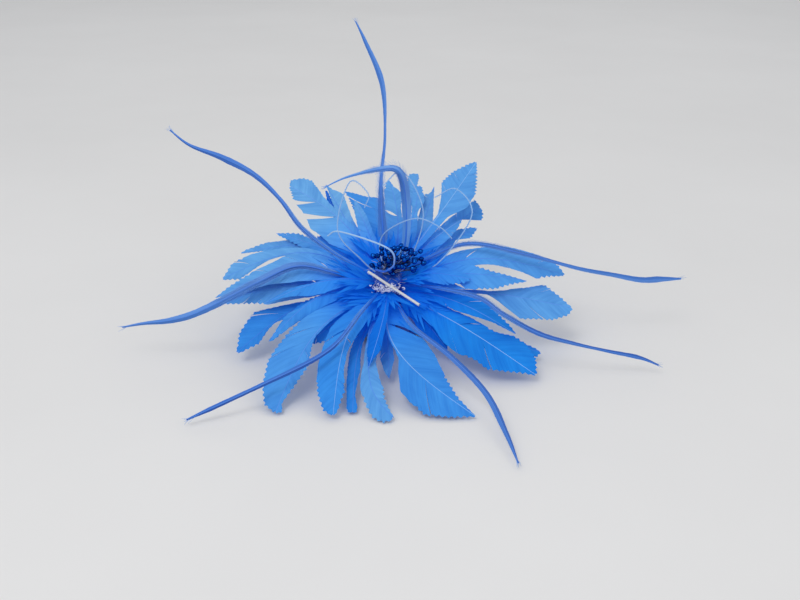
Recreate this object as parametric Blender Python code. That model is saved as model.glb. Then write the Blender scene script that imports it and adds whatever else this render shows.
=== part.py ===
"""A blue feather fascinator: a bloom of trimmed feathers with slim feathers, curled quills and pearl
stamens round a bound core, on a felt disc with a hair clip under it.

Sizes are in millimetres and are turned into metres as the meshes are made. +Z is up and -Y is the
front. The origin is the middle of the clip's flat underside, which rests on a table. The bloom leans
forward, so its front feathers droop until their tips touch the table.

Places in the bloom are given as on a clock: clock is the angle round the core in degrees, 0 at the
back and 90 at the right, reach is the distance out from the core's axis, and lift is the height
along that axis, measured from the middle of the core.
"""

import math
from collections import namedtuple

import bmesh
import bpy
from mathutils import Matrix, Vector

# Driving dimensions
MM = 0.001
GAP = 0.3
BLOOM_TILT = 25.0
CORE_RADIUS = 6.5
CORE_TOP = 11.0
CORE_BOTTOM = -14.0
CORE_SIDES = 16
STEM_RADIUS = 4.5
FOOT_RADIUS = 8.0
FOOT_HEIGHT = 6.2
CUT_LEVEL = -28.0
CLIP_LENGTH = 46.0
CLIP_WIDTH = 9.0
CLIP_SHEET = 0.9
CLIP_SLOT = 1.4
DISC_RADIUS = 22.0
DISC_THICKNESS = 2.4
DISC_BEVEL = 0.7
CORE_MIDDLE = 36.0

# Trimmed feathers
ROOT_REACH = CORE_RADIUS + 2 * GAP
QUILL_WIDTH = 2.2
QUILL_THICKNESS = 1.3
TIP_THICKNESS = 0.8
BARE_SHARE = 0.05
BARB_SWEEP = 1.1
TOOTH_DEPTH = 1.6
CUP = 1.6
RIDGE = (0.0, 0.05, 0.12, 0.2, 0.28, 0.36, 0.44, 0.52, 0.59, 0.66, 0.72, 0.78, 0.83, 0.87, 0.91, 0.94, 0.975)

# Slim feathers and curled quills
SLIM_BARE_SHARE = 0.06
CROSSING_BARE_SHARE = 0.3
SLIM_ROWS = 12
SLIM_STEM = 1.0
SLIM_VANE = 1.1
SLIM_TAPER = 0.2
SLIM_THICKNESS = (1.5, 0.8)
CURLED_RADII = (0.6, 0.45)
THICK_CURLED_RADII = (0.9, 0.6)
CURLED_SIDES = 5
CURLED_STEPS = 18

# Glue pad on top of the core
PAD_RADIUS = 9.0
PAD_SHIFT = 3.0
PAD_TOP = 13.8

# Stamens
BEAD_RADIUS = 1.5
BEAD_COUNT = 30
BEAD_SIDES = 10
BEAD_RINGS = 4
BUNCH_ACROSS = 17.0
BUNCH_DEEP = 10.0
BUNCH_TOP = 27.0
BUNCH_DROP = 7.0
BUNCH_RIGHT = 6.0
BUNCH_BACK = 3.0
BUNCH_BASE_RADIUS = 5.5
BUNCH_STEPS = (1.6, -1.0, 0.0)
THREAD_RADIUS = 0.4
THREAD_START = 3.0
GOLDEN_ANGLE = 137.508

AXIS = Vector((0, -math.sin(math.radians(BLOOM_TILT)), math.cos(math.radians(BLOOM_TILT))))
BACK = Vector((0, math.cos(math.radians(BLOOM_TILT)), math.sin(math.radians(BLOOM_TILT))))
RIGHT = Vector((1, 0, 0))
CORE = Vector((0, -math.tan(math.radians(BLOOM_TILT)) * (CORE_MIDDLE - 5.0), CORE_MIDDLE))
FRONT = Vector((0, -math.cos(math.radians(24)), math.sin(math.radians(24))))

# A trimmed feather: its tip's clock, reach and lift, where its quill sits along the core, how far its
# middle rises and bows clockwise, how far its tip swings clockwise, and from what share of its length
# it is pinked. Near and far are the outlines of its anticlockwise and clockwise vanes: each point is a
# share of the length and a width, in order from the root, and an outline ends at the quill's tip.
Leaf = namedtuple("Leaf", "clock reach lift seat arch bow swing pinked near far")

SHORT = ((0.2, 3), (0.45, 6), (0.7, 7), (0.9, 4.5))
SHORT_WIDE = ((0.2, 3.5), (0.45, 7), (0.7, 8), (0.9, 5))

LEAVES = (
    # upper left to upper right
    Leaf(
        322, 105, 6, 1, 9, 4, 0, 0.85,
        ((0.24, 9), (0.36, 16), (0.55, 18), (0.72, 12), (0.84, 10), (0.98, 2)),
        ((0.2, 3.5), (0.45, 2.5), (0.72, 6), (0.93, 14), (1, 12), (1.05, 5)),
    ),
    Leaf(
        335, 99, 1, -3, 8, -3, 0, 0.9,
        ((0.27, 2), (0.55, 4.5), (0.84, 1.5)),
        ((0.27, 2), (0.4, 1), (0.55, 3.5), (0.85, 8), (0.93, 2.5)),
    ),
    Leaf(
        355, 88, -9, -11, 8, 0, 0, 0.9,
        ((0.36, 3.5), (0.64, 12), (0.86, 17), (1.18, 22), (1.05, 8)),
        ((0.38, 3), (0.81, 2.5)),
    ),
    Leaf(
        341, 67, 12, 5, 6, -1, 0, 0.9,
        ((0.27, 2), (0.5, 4), (0.83, 2.5)),
        ((0.24, 4), (0.5, 3), (0.73, 3.5), (0.95, 1.5)),
    ),
    Leaf(
        0, 97, -2, -7, 8, 6, 0, 0.9,
        ((0.26, 5), (0.4, 8), (0.6, 8.5), (0.88, 5.5), (0.98, 3)),
        ((0.35, 2.5), (0.5, 1.5), (0.65, 2.5), (0.83, 5.5), (0.91, 2)),
    ),
    Leaf(
        10, 113, -9, -10, 8, 1, 0, 0.9,
        ((0.31, 1), (0.5, 2), (0.7, 5), (0.86, 7), (1.01, 7)),
        ((0.32, 5), (0.5, 3), (0.65, 1), (0.95, 1.5)),
    ),
    Leaf(
        13, 89, 3, 1, 8, 4, 0, 0.9,
        ((0.3, 1), (0.52, 1), (0.77, 3.5), (0.95, 4)),
        ((0.3, 4), (0.5, 2.5), (0.65, 1.5), (0.78, 5), (0.96, 2.5)),
    ),
    Leaf(
        18, 97, -3, -7, 8, 5, 0, 0.9,
        ((0.33, 1), (0.62, 3.5), (0.89, 6), (0.91, 1.5)),
        ((0.36, 6), (0.55, 6), (0.82, 2), (0.92, 1)),
    ),
    Leaf(
        30, 115, 12, 5, 8, 4.5, 0, 0.72,
        ((0.3, 1), (0.45, 1), (0.6, 7), (0.73, 13), (0.86, 10.5), (0.96, 4)),
        ((0.27, 4), (0.46, 5.5), (0.58, 12), (0.73, 11.5), (0.9, 5)),
    ),
    Leaf(
        37.5, 99, -9, -11, 6, -4, 0, 0.9,
        ((0.3, 2), (0.6, 4.5), (0.84, 7), (1.05, 9)),
        ((0.45, 5.5), (0.6, 5), (0.79, 1), (0.91, 9.5), (0.97, 5.5)),
    ),
    Leaf(
        46.5, 78.5, -4, -7, 6, -2, 0, 0.85,
        ((0.48, 1.5), (0.64, 3), (0.85, 6.5), (0.95, 4)),
        ((0.3, 5), (0.47, 6), (0.61, 4.5), (0.72, 1.5), (0.86, 5.5)),
    ),
    Leaf(
        42.5, 69, 7, 1, 6, 0, 0, 0.9,
        ((0.36, 2), (0.55, 3.5), (0.95, 2)),
        ((0.34, 5), (0.47, 6.5), (0.73, 5.5), (0.9, 3)),
    ),
    # right
    Leaf(
        86.5, 107, 3, -3, 14, -7, 0, 0.85,
        ((0.28, 3.5), (0.48, 9.5), (0.65, 12.5), (0.81, 12), (0.9, 10.5), (0.96, 7)),
        ((0.26, 5.5), (0.37, 6.5), (0.5, 4.5), (0.58, 4.5), (0.72, 7), (0.83, 9), (0.96, 2.5)),
    ),
    Leaf(
        92.5, 83, 9, 1, 9, 0, 0, 0.6,
        ((0.25, 2), (0.48, 7.5), (0.6, 7.5), (0.75, 4), (0.94, 1)),
        ((0.25, 7), (0.37, 11), (0.59, 11), (0.75, 9.5), (0.86, 5.5)),
    ),
    Leaf(
        97, 111, -4, -7, 8, -0.5, 0, 0.7,
        ((0.4, 1.5), (0.52, 1.5), (0.6, 3.5), (0.69, 8), (0.83, 15.5), (0.94, 7)),
        ((0.4, 1.5), (0.51, 1.5), (0.58, 6), (0.71, 16), (0.89, 12), (0.98, 6)),
    ),
    Leaf(
        118.5, 84, 4, -1, 5, -4, 0, 0.8,
        ((0.2, 6), (0.4, 9), (0.51, 12.5), (0.63, 11), (0.73, 7.5), (0.91, 4)),
        ((0.24, 3), (0.4, 6), (0.51, 6.5), (0.67, 4.5), (0.8, 2)),
    ),
    Leaf(
        112.5, 98, -16, -11, 6, 7, 0, 0.8,
        ((0.38, 4), (0.52, 6), (0.78, 5.5), (0.95, 2.5)),
        ((0.4, 4.5), (0.68, 9), (0.81, 9.5), (0.97, 5)),
    ),
    Leaf(
        127, 105.5, -4, -3, 7, 1, 0, 0.6,
        ((0.12, 7.5), (0.38, 7.5), (0.48, 9), (0.67, 10), (0.76, 15.5), (0.84, 15.5), (0.94, 10)),
        ((0.22, 5), (0.36, 10.5), (0.45, 15), (0.56, 16.5), (0.67, 14.5), (0.76, 15.5), (0.84, 10.5)),
    ),
    Leaf(
        141, 55.5, -7, -11, 6, -1.5, 0, 0.8,
        ((0.22, 10), (0.48, 8), (0.7, 6), (0.88, 3.5)),
        ((0.26, 2.5), (0.53, 6), (0.77, 6)),
    ),
    # bottom
    Leaf(
        154.5, 111, 9, -1, 8, 19.5, 0, 0.75,
        ((0.18, 12), (0.32, 17), (0.49, 18), (0.61, 16), (0.77, 9), (0.88, 3.5), (0.96, 1)),
        ((0.2, 1), (0.46, 1), (0.52, 2.5), (0.66, 15), (0.81, 17), (0.91, 9.5)),
    ),
    Leaf(
        179, 67.5, -2, -12, 5, 0.5, 0, 0.95,
        ((0.33, 3), (0.67, 3), (0.78, 3.5)),
        ((0.33, 3.5), (0.55, 4), (0.75, 5), (0.92, 2.5)),
    ),
    Leaf(
        183, 102, 10.5, -7, 8, 8, -10, 0.8,
        ((0.22, 6), (0.44, 7), (0.6, 4.5), (0.8, 6.5), (0.91, 3)),
        ((0.24, 1), (0.44, 1), (0.6, 2.5), (0.7, 5), (0.92, 8.5), (0.98, 6)),
    ),
    Leaf(
        188, 71.5, 13, 5, 7, -3, 0, 0.9,
        ((0.5, 2.5), (0.82, 3.5), (0.9, 1.5)),
        ((0.5, 3.5), (0.7, 5.5), (0.86, 4)),
    ),
    Leaf(
        190.5, 98.5, 7, -9, 6, 6.5, 0, 0.95,
        ((0.2, 2.5), (0.48, 1.5), (0.69, 3), (0.87, 1), (0.98, 3)),
        ((0.22, 3.5), (0.55, 5), (0.84, 4), (0.98, 3.5)),
    ),
    Leaf(
        195.5, 105, 11, 1, 9, 8, 0, 0.8,
        ((0.27, 6.5), (0.4, 6), (0.6, 3), (0.72, 3), (0.85, 5.5), (0.97, 2.5)),
        ((0.27, 6), (0.43, 11.5), (0.71, 12), (0.86, 10.5), (0.97, 6)),
    ),
    Leaf(
        211.5, 113.5, 7, -5, 11, 10.5, 0, 0.5,
        ((0.17, 1), (0.54, 1.5), (0.71, 7.5), (0.84, 5), (0.94, 1.5), (0.98, 4)),
        ((0.2, 6.5), (0.36, 11), (0.53, 14.5), (0.73, 17), (0.87, 13.5), (0.97, 8)),
    ),
    Leaf(
        245, 97.5, -12, -11, 9, 10, 0, 0.7,
        ((0.4, 6.5), (0.51, 6), (0.61, 4), (0.69, 1), (0.76, 2.5), (0.86, 6), (0.98, 2)),
        ((0.38, 1), (0.47, 2.5), (0.63, 9.5), (0.75, 16), (0.9, 10.5)),
    ),
    Leaf(
        235.5, 82, 5, 2, 6, 9, 0, 0.9,
        ((0.39, 6.5), (0.63, 6.5), (0.72, 5), (0.96, 2)),
        ((0.39, 1), (0.64, 1.5), (0.73, 4.5), (0.91, 1.5)),
    ),
    # left
    Leaf(
        255.5, 75, 6, 6, 8, 1.5, 0, 0.95,
        ((0.34, 6), (0.48, 7.5), (0.61, 7), (0.83, 2)),
        ((0.33, 1), (0.58, 1), (0.75, 3), (0.93, 1)),
    ),
    Leaf(
        263, 105, 0, -3, 8, 3, 0, 0.7,
        ((0.17, 3), (0.26, 6.5), (0.4, 10), (0.66, 11), (0.78, 8.5), (0.95, 3)),
        ((0.2, 6.5), (0.4, 10.5), (0.58, 11.5), (0.67, 10.5), (0.85, 6)),
    ),
    Leaf(
        275.5, 102, -4, -7, 15, 14.5, 0, 0.85,
        ((0.32, 6), (0.45, 5.5), (0.6, 1), (0.7, 1), (0.84, 5), (0.9, 6.5), (0.98, 2)),
        ((0.35, 2.5), (0.55, 5), (0.72, 8.5), (0.79, 10.5), (0.92, 10.5)),
    ),
    Leaf(
        291.5, 101, -10, -11, 14, 11, 0, 0.85,
        ((0.36, 6.5), (0.5, 7.5), (0.72, 4), (0.92, 1)),
        ((0.4, 2), (0.54, 4), (0.68, 7), (0.86, 7), (0.96, 3.5)),
    ),
    Leaf(
        301.5, 83, 2, -3, 7, 1, 0, 0.75,
        ((0.32, 1), (0.44, 4), (0.57, 5.5), (0.77, 4), (0.95, 1.5)),
        ((0.35, 1.5), (0.47, 1.5), (0.62, 2.5), (0.75, 6), (0.83, 6.5)),
    ),
    # narrow ones half hidden by their neighbours
    Leaf(
        335, 101, -6, -7, 8, -5.5, 0, 0.9,
        ((0.33, 2.5), (0.5, 2.5), (0.84, 2)),
        ((0.33, 1), (0.66, 2), (0.99, 2)),
    ),
    Leaf(
        263, 103, 4, 1, 10, 10.5, 0, 0.75,
        ((0.26, 8), (0.42, 10.5), (0.54, 10), (0.67, 7.5), (0.88, 4.5)),
        ((0.2, 3.5), (0.4, 9.5), (0.48, 13), (0.54, 13), (0.6, 10), (0.72, 7.5), (0.9, 4)),
    ),
    # short ones round the core
    Leaf(66, 60, -2, -7, 5, 0, 0, 0.65, SHORT, SHORT_WIDE),
    Leaf(100, 50, 16, 9, 5, 0, 0, 0.65, SHORT, SHORT),
    Leaf(224, 66, 4, -7, 5, 0, 0, 0.65, SHORT_WIDE, SHORT_WIDE),
    Leaf(248, 60, 4, -7, 5, 0, 0, 0.65, SHORT, SHORT),
    Leaf(310, 58, 6, -7, 4, 0, 0, 0.65, SHORT, SHORT_WIDE),
)

# A strand's way out from the core, one row for each place that it passes through.
Place = namedtuple("Place", "clock reach lift")

SLIM_FEATHERS = (
    # top
    (Place(356, 6.9, 3), Place(354, 24, 12), Place(356, 52, 38), Place(359, 112, 60), Place(352, 161, 80)),
    # upper left, its bare quill lying across the core
    (
        Place(144, 31, 12.5),
        Place(169, 12.2, 13.3),
        Place(257, 12.8, 17.5),
        Place(286, 48, 30),
        Place(303, 112, 42),
        Place(304, 166, 48),
    ),
    # left
    (Place(272, 6.9, 5), Place(268, 27, 12), Place(269, 51, 20), Place(256, 111, 12), Place(260, 160, -5)),
    # lower left
    (Place(208, 6.9, 6), Place(202, 38, 19), Place(205, 74, 24), Place(217, 111, 21), Place(225, 150, 13)),
    # lower right
    (Place(165, 6.9, 5), Place(162, 42, 14), Place(153, 77, 20), Place(149, 104, 16), Place(155, 157, 30)),
    # right, lower one
    (Place(110, 6.9, 4), Place(113, 27, 12), Place(115, 58, 20.5), Place(118, 91, 16), Place(109, 166, -8)),
    # right, upper one
    (Place(66, 6.9, 5), Place(63, 26, 12), Place(72, 51, 21), Place(87, 103, 17), Place(87, 181, -3)),
    # back, bent over to the left
    (
        Place(24, 6.9, 7),
        Place(26, 23, 14),
        Place(17, 37, 36),
        Place(11, 36, 60),
        Place(354, 37, 62),
        Place(331, 45, 56),
        Place(314, 56, 48),
    ),
)

CURLED_QUILLS = (
    (
        Place(300, 7.6, 8),
        Place(300, 18, 14),
        Place(300, 34, 31),
        Place(328, 42, 52),
        Place(338, 30, 50),
        Place(330, 27, 43),
    ),
    (
        Place(45, 7.6, 8),
        Place(50, 21, 19),
        Place(40, 32, 41),
        Place(13, 39, 58),
        Place(354, 29, 55),
    ),
    (
        Place(340, 7.6, 8),
        Place(345, 19, 18),
        Place(3, 19, 30),
        Place(47, 23, 42),
        Place(71, 32, 40),
        Place(79, 38, 34),
    ),
    (
        Place(88, 7.6, 8),
        Place(85, 22, 11),
        Place(76, 37, 21),
        Place(66, 54, 40),
        Place(47, 55, 45),
        Place(38, 45, 40),
    ),
    (
        Place(275, 7.4, 14.6),
        Place(226, 9, 22),
        Place(185, 14, 29),
        Place(165, 15, 36),
        Place(180, 9, 43),
        Place(278, 27, 43),
        Place(279, 35, 38),
    ),
)


def flower_point(clock, reach, lift):
    """The place of this clock, reach and lift, in millimetres."""
    turn = math.radians(clock)
    return CORE + BACK * (reach * math.cos(turn)) + RIGHT * (reach * math.sin(turn)) + AXIS * lift


def mesh_object(name, verts, faces, material, smooth=True):
    """A named object from points in millimetres and faces that point out."""
    mesh = bpy.data.meshes.new(name)
    mesh.from_pydata([Vector(v) * MM for v in verts], [], faces)
    mesh.validate()
    bm = bmesh.new()
    bm.from_mesh(mesh)
    bmesh.ops.recalc_face_normals(bm, faces=bm.faces)
    bm.to_mesh(mesh)
    bm.free()
    if smooth:
        mesh.shade_smooth()
        mesh.set_sharp_from_angle(angle=math.radians(40))
    mesh.materials.append(material)
    obj = bpy.data.objects.new(name, mesh)
    bpy.context.scene.collection.objects.link(obj)
    return obj


def surface(name, colour, roughness, metallic=0.0):
    """A plain Principled material."""
    material = bpy.data.materials.new(name)
    material.use_nodes = True
    shader = material.node_tree.nodes["Principled BSDF"]
    shader.inputs["Base Color"].default_value = (*colour, 1)
    shader.inputs["Roughness"].default_value = roughness
    shader.inputs["Metallic"].default_value = metallic
    return material


def polyline(path, steps=80):
    """Points along a path and the distance to each of them."""
    points = [path(i / steps) for i in range(steps + 1)]
    run = [0.0]
    for before, after in zip(points, points[1:]):
        run.append(run[-1] + (after - before).length)
    return points, run


def along(line, share):
    """The point at this share of a polyline's length, and the way it heads there."""
    points, run = line
    goal = min(max(share, 0.0), 1.0) * run[-1]
    i = 0
    while i < len(run) - 2 and run[i + 1] < goal:
        i += 1
    part = (goal - run[i]) / (run[i + 1] - run[i])
    ahead = points[min(i + 2, len(points) - 1)] - points[i]
    behind = points[i + 1] - points[max(i - 1, 0)]
    return points[i].lerp(points[i + 1], part), behind.lerp(ahead, part).normalized()


def spline(places):
    """A smooth path through places of the bloom."""
    knots = [flower_point(*place) for place in places]
    knots = [knots[0] * 2 - knots[1]] + knots + [knots[-1] * 2 - knots[-2]]
    spans = len(knots) - 3

    def path(share):
        i = min(int(share * spans), spans - 1)
        t = share * spans - i
        a, b, c, d = knots[i : i + 4]
        return 0.5 * (
            2 * b + (c - a) * t + (2 * a - 5 * b + 4 * c - d) * t**2 + (3 * b - a - 3 * c + d) * t**3
        )

    return path


def leaf_path(leaf):
    """The quill of a trimmed feather, from the core's side to its tip."""
    root = flower_point(leaf.clock, ROOT_REACH, leaf.seat)
    tip = flower_point(leaf.clock, leaf.reach, leaf.lift)
    side = flower_point(leaf.clock + 90, 1, 0) - CORE

    def path(share):
        belly = math.sin(math.pi * share**0.85)
        curl = max(0.0, share - 0.75) ** 2 * 16
        sideways = leaf.bow * belly + leaf.swing * curl
        return root.lerp(tip, share) + AXIS * (leaf.arch * belly) + side * sideways

    return path


def barb_end(outline, root, sweep):
    """The share and width at which the barb from the share root of the quill meets its vane's outline.
    A barb goes forward by sweep, a share of the length, for each millimetre that it goes out."""
    corners = ((BARE_SHARE, QUILL_WIDTH / 2), *outline, (1.0, 0.0))
    before = corners[0]
    reached = before[0] - sweep * before[1]
    for corner in corners[1:]:
        foot = corner[0] - sweep * corner[1]
        if foot > root:
            part = (root - reached) / (foot - reached)
            return before[0] + (corner[0] - before[0]) * part, before[1] + (corner[1] - before[1]) * part
        reached = max(reached, foot)
        before = corner
    return before


def leaf_rows(leaf, length):
    """Rows of barbs: their share of the quill, and the share and width where each vane ends."""
    sweep = BARB_SWEEP / length
    rows = []
    for i, root in enumerate(RIDGE):
        if root <= BARE_SHARE:
            rows.append((root, (root, QUILL_WIDTH / 2), (root, QUILL_WIDTH / 2)))
            continue
        ends = []
        for outline in (leaf.near, leaf.far):
            share, width = barb_end(outline, root, sweep)
            if share > leaf.pinked and i % 2:
                pull = min(TOOTH_DEPTH, 0.3 * width)
                share -= pull * sweep
                width -= pull
            ends.append((share, max(width, QUILL_WIDTH / 2 * (1 - root))))
        rows.append((root, *ends))
    return rows


def blade(name, line, rows, face, cup, thickness, material):
    """A feather as one closed blade: a ridge along its quill, thinning to its edges."""
    length = line[1][-1]
    widest = max(max(near[1], far[1]) for _, near, far in rows)
    verts = []
    for root, near, far in rows:
        point, heading = along(line, root)
        side = heading.cross(face).normalized()
        up = side.cross(heading)
        half = (thickness[0] + (thickness[1] - thickness[0]) * root) / 2
        for way, (share, width) in ((-1, near), (1, far)):
            foot, ahead = along(line, share)
            out = ahead.cross(face).normalized()
            past = ahead * (max(0.0, share - 1.0) * length)
            verts.append(foot + past + out * (way * width) - up * cup * (width / widest) ** 2)
            verts.append(point - up * (way * half))
    tip = len(verts)
    verts.append(along(line, 1.0)[0])
    faces = [(0, 1, 2, 3)]
    for first in range(0, tip - 4, 4):
        for edge, ridge in ((0, 1), (2, 1), (2, 3), (0, 3)):
            faces.append((first + ridge, first + edge, first + 4 + edge))
            faces.append((first + ridge, first + 4 + edge, first + 4 + ridge))
    for k in range(4):
        faces.append((tip - 4 + k, tip, tip - 4 + (k + 1) % 4))
    return mesh_object(name, verts, faces, material)


def tube(name, line, radii, material):
    """A thin round strand with its radius going from the first value to the second."""
    verts = []
    for i in range(CURLED_STEPS + 1):
        point, heading = along(line, i / CURLED_STEPS)
        side = heading.cross(FRONT).normalized()
        up = side.cross(heading)
        radius = radii[0] + (radii[1] - radii[0]) * i / CURLED_STEPS
        for k in range(CURLED_SIDES):
            turn = 2 * math.pi * k / CURLED_SIDES
            verts.append(point + side * (radius * math.cos(turn)) + up * (radius * math.sin(turn)))
    mesh_object(name, verts, ring_faces(CURLED_STEPS + 1, CURLED_SIDES), material)


def ring_faces(count, sides):
    """The faces of a closed body made of rings, one after the other."""
    faces = [tuple(range(sides)), tuple((count - 1) * sides + k for k in range(sides))]
    for first in range(0, (count - 1) * sides, sides):
        for k in range(sides):
            after = (k + 1) % sides
            faces.append((first + k, first + sides + k, first + sides + after, first + after))
    return faces


def make_leaves(material):
    for number, leaf in enumerate(LEAVES, 1):
        line = polyline(leaf_path(leaf))
        rows = leaf_rows(leaf, line[1][-1])
        name = f"trimmed_feather_{number:02d}"
        blade(name, line, rows, AXIS, CUP, (QUILL_THICKNESS, TIP_THICKNESS), material)


def make_slim_feathers(material):
    for number, places in enumerate(SLIM_FEATHERS, 1):
        line = polyline(spline(places))
        bare = CROSSING_BARE_SHARE if number == 2 else SLIM_BARE_SHARE
        rows = []
        for i in range(SLIM_ROWS):
            share = i / SLIM_ROWS
            vane = max(0.0, (share - bare) / (1 - bare))
            half = SLIM_STEM + SLIM_VANE * math.sin(math.pi * min(1.0, vane * 1.1) ** 0.7)
            half *= min(1.0, (1 - share) / SLIM_TAPER)
            rows.append((share, (share, half), (share, half)))
        blade(f"slim_feather_{number}", line, rows, FRONT, 0.0, SLIM_THICKNESS, material)


def make_curled_quills(material):
    for number, places in enumerate(CURLED_QUILLS, 1):
        line = polyline(spline(places))
        radii = THICK_CURLED_RADII if number == 5 else CURLED_RADII
        tube(f"curled_quill_{number}", line, radii, material)


def make_core(material):
    """The bound core, its stem leaning forward from a foot that is cut level."""
    rings = (
        (CUT_LEVEL, FOOT_RADIUS),
        (-26.0, STEM_RADIUS + 0.6),
        (-22.0, STEM_RADIUS),
        (-18.0, STEM_RADIUS),
        (CORE_BOTTOM, CORE_RADIUS),
        (0.0, CORE_RADIUS),
        (CORE_TOP - 1.5, CORE_RADIUS),
        (CORE_TOP, CORE_RADIUS - 1.5),
    )
    verts = []
    for lift, radius in rings:
        for k in range(CORE_SIDES):
            point = flower_point(360 * k / CORE_SIDES, radius, lift)
            if lift == CUT_LEVEL:
                point = point + AXIS * ((FOOT_HEIGHT - point.z) / AXIS.z)
            verts.append(point)
    mesh_object("bound_core", verts, ring_faces(len(rings), CORE_SIDES), material)


def make_glue_pad(material):
    """The pad of set glue on the core, which holds the stamens and the feather that lies across."""
    centre = flower_point(185, PAD_SHIFT, 0)
    rings = (
        (PAD_RADIUS - 1.0, CORE_TOP + GAP),
        (PAD_RADIUS, CORE_TOP + 0.8),
        (PAD_RADIUS - 2.5, PAD_TOP - 0.8),
        (PAD_RADIUS - 6.0, PAD_TOP),
    )
    verts = []
    for radius, lift in rings:
        for k in range(CORE_SIDES):
            turn = 2 * math.pi * k / CORE_SIDES
            around = RIGHT * math.sin(turn) + BACK * math.cos(turn)
            verts.append(centre + around * radius + AXIS * lift)
    mesh_object("glue_pad", verts, ring_faces(len(rings), CORE_SIDES), material)


def make_stamens(material):
    """Pearl heads on threads, fused into one bunch over the core."""
    base = flower_point(0, 0, PAD_TOP + GAP)
    frame = Matrix((RIGHT, BACK, AXIS)).transposed().to_4x4()
    dome = bmesh.new()
    bmesh.ops.create_uvsphere(dome, u_segments=12, v_segments=6, radius=BUNCH_BASE_RADIUS)
    cut = bmesh.ops.bisect_plane(
        dome, geom=dome.verts[:] + dome.edges[:] + dome.faces[:], plane_co=(0, 0, 0), plane_no=(0, 0, -1),
        clear_outer=True,
    )
    bmesh.ops.holes_fill(dome, edges=[e for e in cut["geom_cut"] if isinstance(e, bmesh.types.BMEdge)])
    dome.transform(Matrix.Translation(base) @ frame)
    dome.transform(Matrix.Scale(MM, 4))
    dome_mesh = bpy.data.meshes.new("stamens")
    dome.to_mesh(dome_mesh)
    dome.free()
    dome_mesh.materials.append(material)
    stamens = bpy.data.objects.new("stamens", dome_mesh)
    bpy.context.scene.collection.objects.link(stamens)

    heads = bmesh.new()
    for i in range(BEAD_COUNT):
        spread = math.sqrt((i + 0.5) / BEAD_COUNT)
        lift = BUNCH_TOP - BUNCH_DROP * spread**2 + BUNCH_STEPS[i % 3]
        turn = math.radians(i * GOLDEN_ANGLE)
        across = BUNCH_RIGHT + BUNCH_ACROSS * spread * math.sin(turn)
        deep = BUNCH_BACK + BUNCH_DEEP * spread * math.cos(turn)
        place = CORE + RIGHT * across + BACK * deep + AXIS * lift
        bead = bmesh.ops.create_uvsphere(
            heads, u_segments=BEAD_SIDES, v_segments=BEAD_RINGS, radius=BEAD_RADIUS,
        )
        away = (place - base).normalized()
        turn = away.to_track_quat("Z", "Y").to_matrix().to_4x4()
        bmesh.ops.transform(heads, matrix=Matrix.Translation(place) @ turn, verts=bead["verts"])
        free = (place - base).length - THREAD_START
        thread = bmesh.ops.create_cone(
            heads, cap_ends=True, segments=5, radius1=THREAD_RADIUS, radius2=THREAD_RADIUS, depth=free,
        )
        middle = base + away * (THREAD_START + free / 2)
        bmesh.ops.transform(heads, matrix=Matrix.Translation(middle) @ turn, verts=thread["verts"])
    heads.transform(Matrix.Scale(MM, 4))
    heads_mesh = bpy.data.meshes.new("stamen_heads")
    heads.to_mesh(heads_mesh)
    heads.free()
    cutter = bpy.data.objects.new("stamen_heads", heads_mesh)
    cutter.hide_render = True
    cutter.display_type = "WIRE"
    bpy.context.scene.collection.objects.link(cutter)
    union = stamens.modifiers.new("heads", "BOOLEAN")
    union.operation = "UNION"
    union.object = cutter
    union.use_self = True


def make_disc(material):
    """The felt disc that the core's foot is stitched to."""
    low = 2 * CLIP_SHEET + CLIP_SLOT + GAP
    bm = bmesh.new()
    bmesh.ops.create_cone(
        bm, cap_ends=True, segments=32, radius1=DISC_RADIUS, radius2=DISC_RADIUS, depth=DISC_THICKNESS,
        matrix=Matrix.Translation((0, 0, low + DISC_THICKNESS / 2)),
    )
    rims = [edge for edge in bm.edges if abs(edge.verts[0].co.z - edge.verts[1].co.z) < 0.01]
    bmesh.ops.bevel(bm, geom=rims, offset=DISC_BEVEL, segments=1, affect="EDGES")
    bm.verts.index_update()
    verts = [vert.co.copy() for vert in bm.verts]
    faces = [[vert.index for vert in face.verts] for face in bm.faces]
    bm.free()
    mesh_object("felt_disc", verts, faces, material)


def make_clip(material):
    """A flat steel strip bent back over itself, open at its left end."""
    turn = CLIP_SLOT / 2 + CLIP_SHEET
    bend = CLIP_LENGTH / 2 - turn
    left = -CLIP_LENGTH / 2
    outline = [(left, CLIP_SHEET), (left, 0.0)]
    outline += [
        (bend + turn * math.cos(math.radians(a)), turn + turn * math.sin(math.radians(a)))
        for a in range(-90, 91, 30)
    ]
    outline += [(left, 2 * turn), (left, 2 * turn - CLIP_SHEET)]
    inner = CLIP_SLOT / 2
    outline += [
        (bend + inner * math.cos(math.radians(a)), turn + inner * math.sin(math.radians(a)))
        for a in range(90, -91, -30)
    ]
    count = len(outline)
    verts = [Vector((x, -CLIP_WIDTH / 2, z)) for x, z in outline]
    verts += [Vector((x, CLIP_WIDTH / 2, z)) for x, z in outline]
    faces = [tuple(range(count)), tuple(range(count, 2 * count))]
    faces += [(i, (i + 1) % count, (i + 1) % count + count, i + count) for i in range(count)]
    mesh_object("hair_clip", verts, faces, material, smooth=False)


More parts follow.
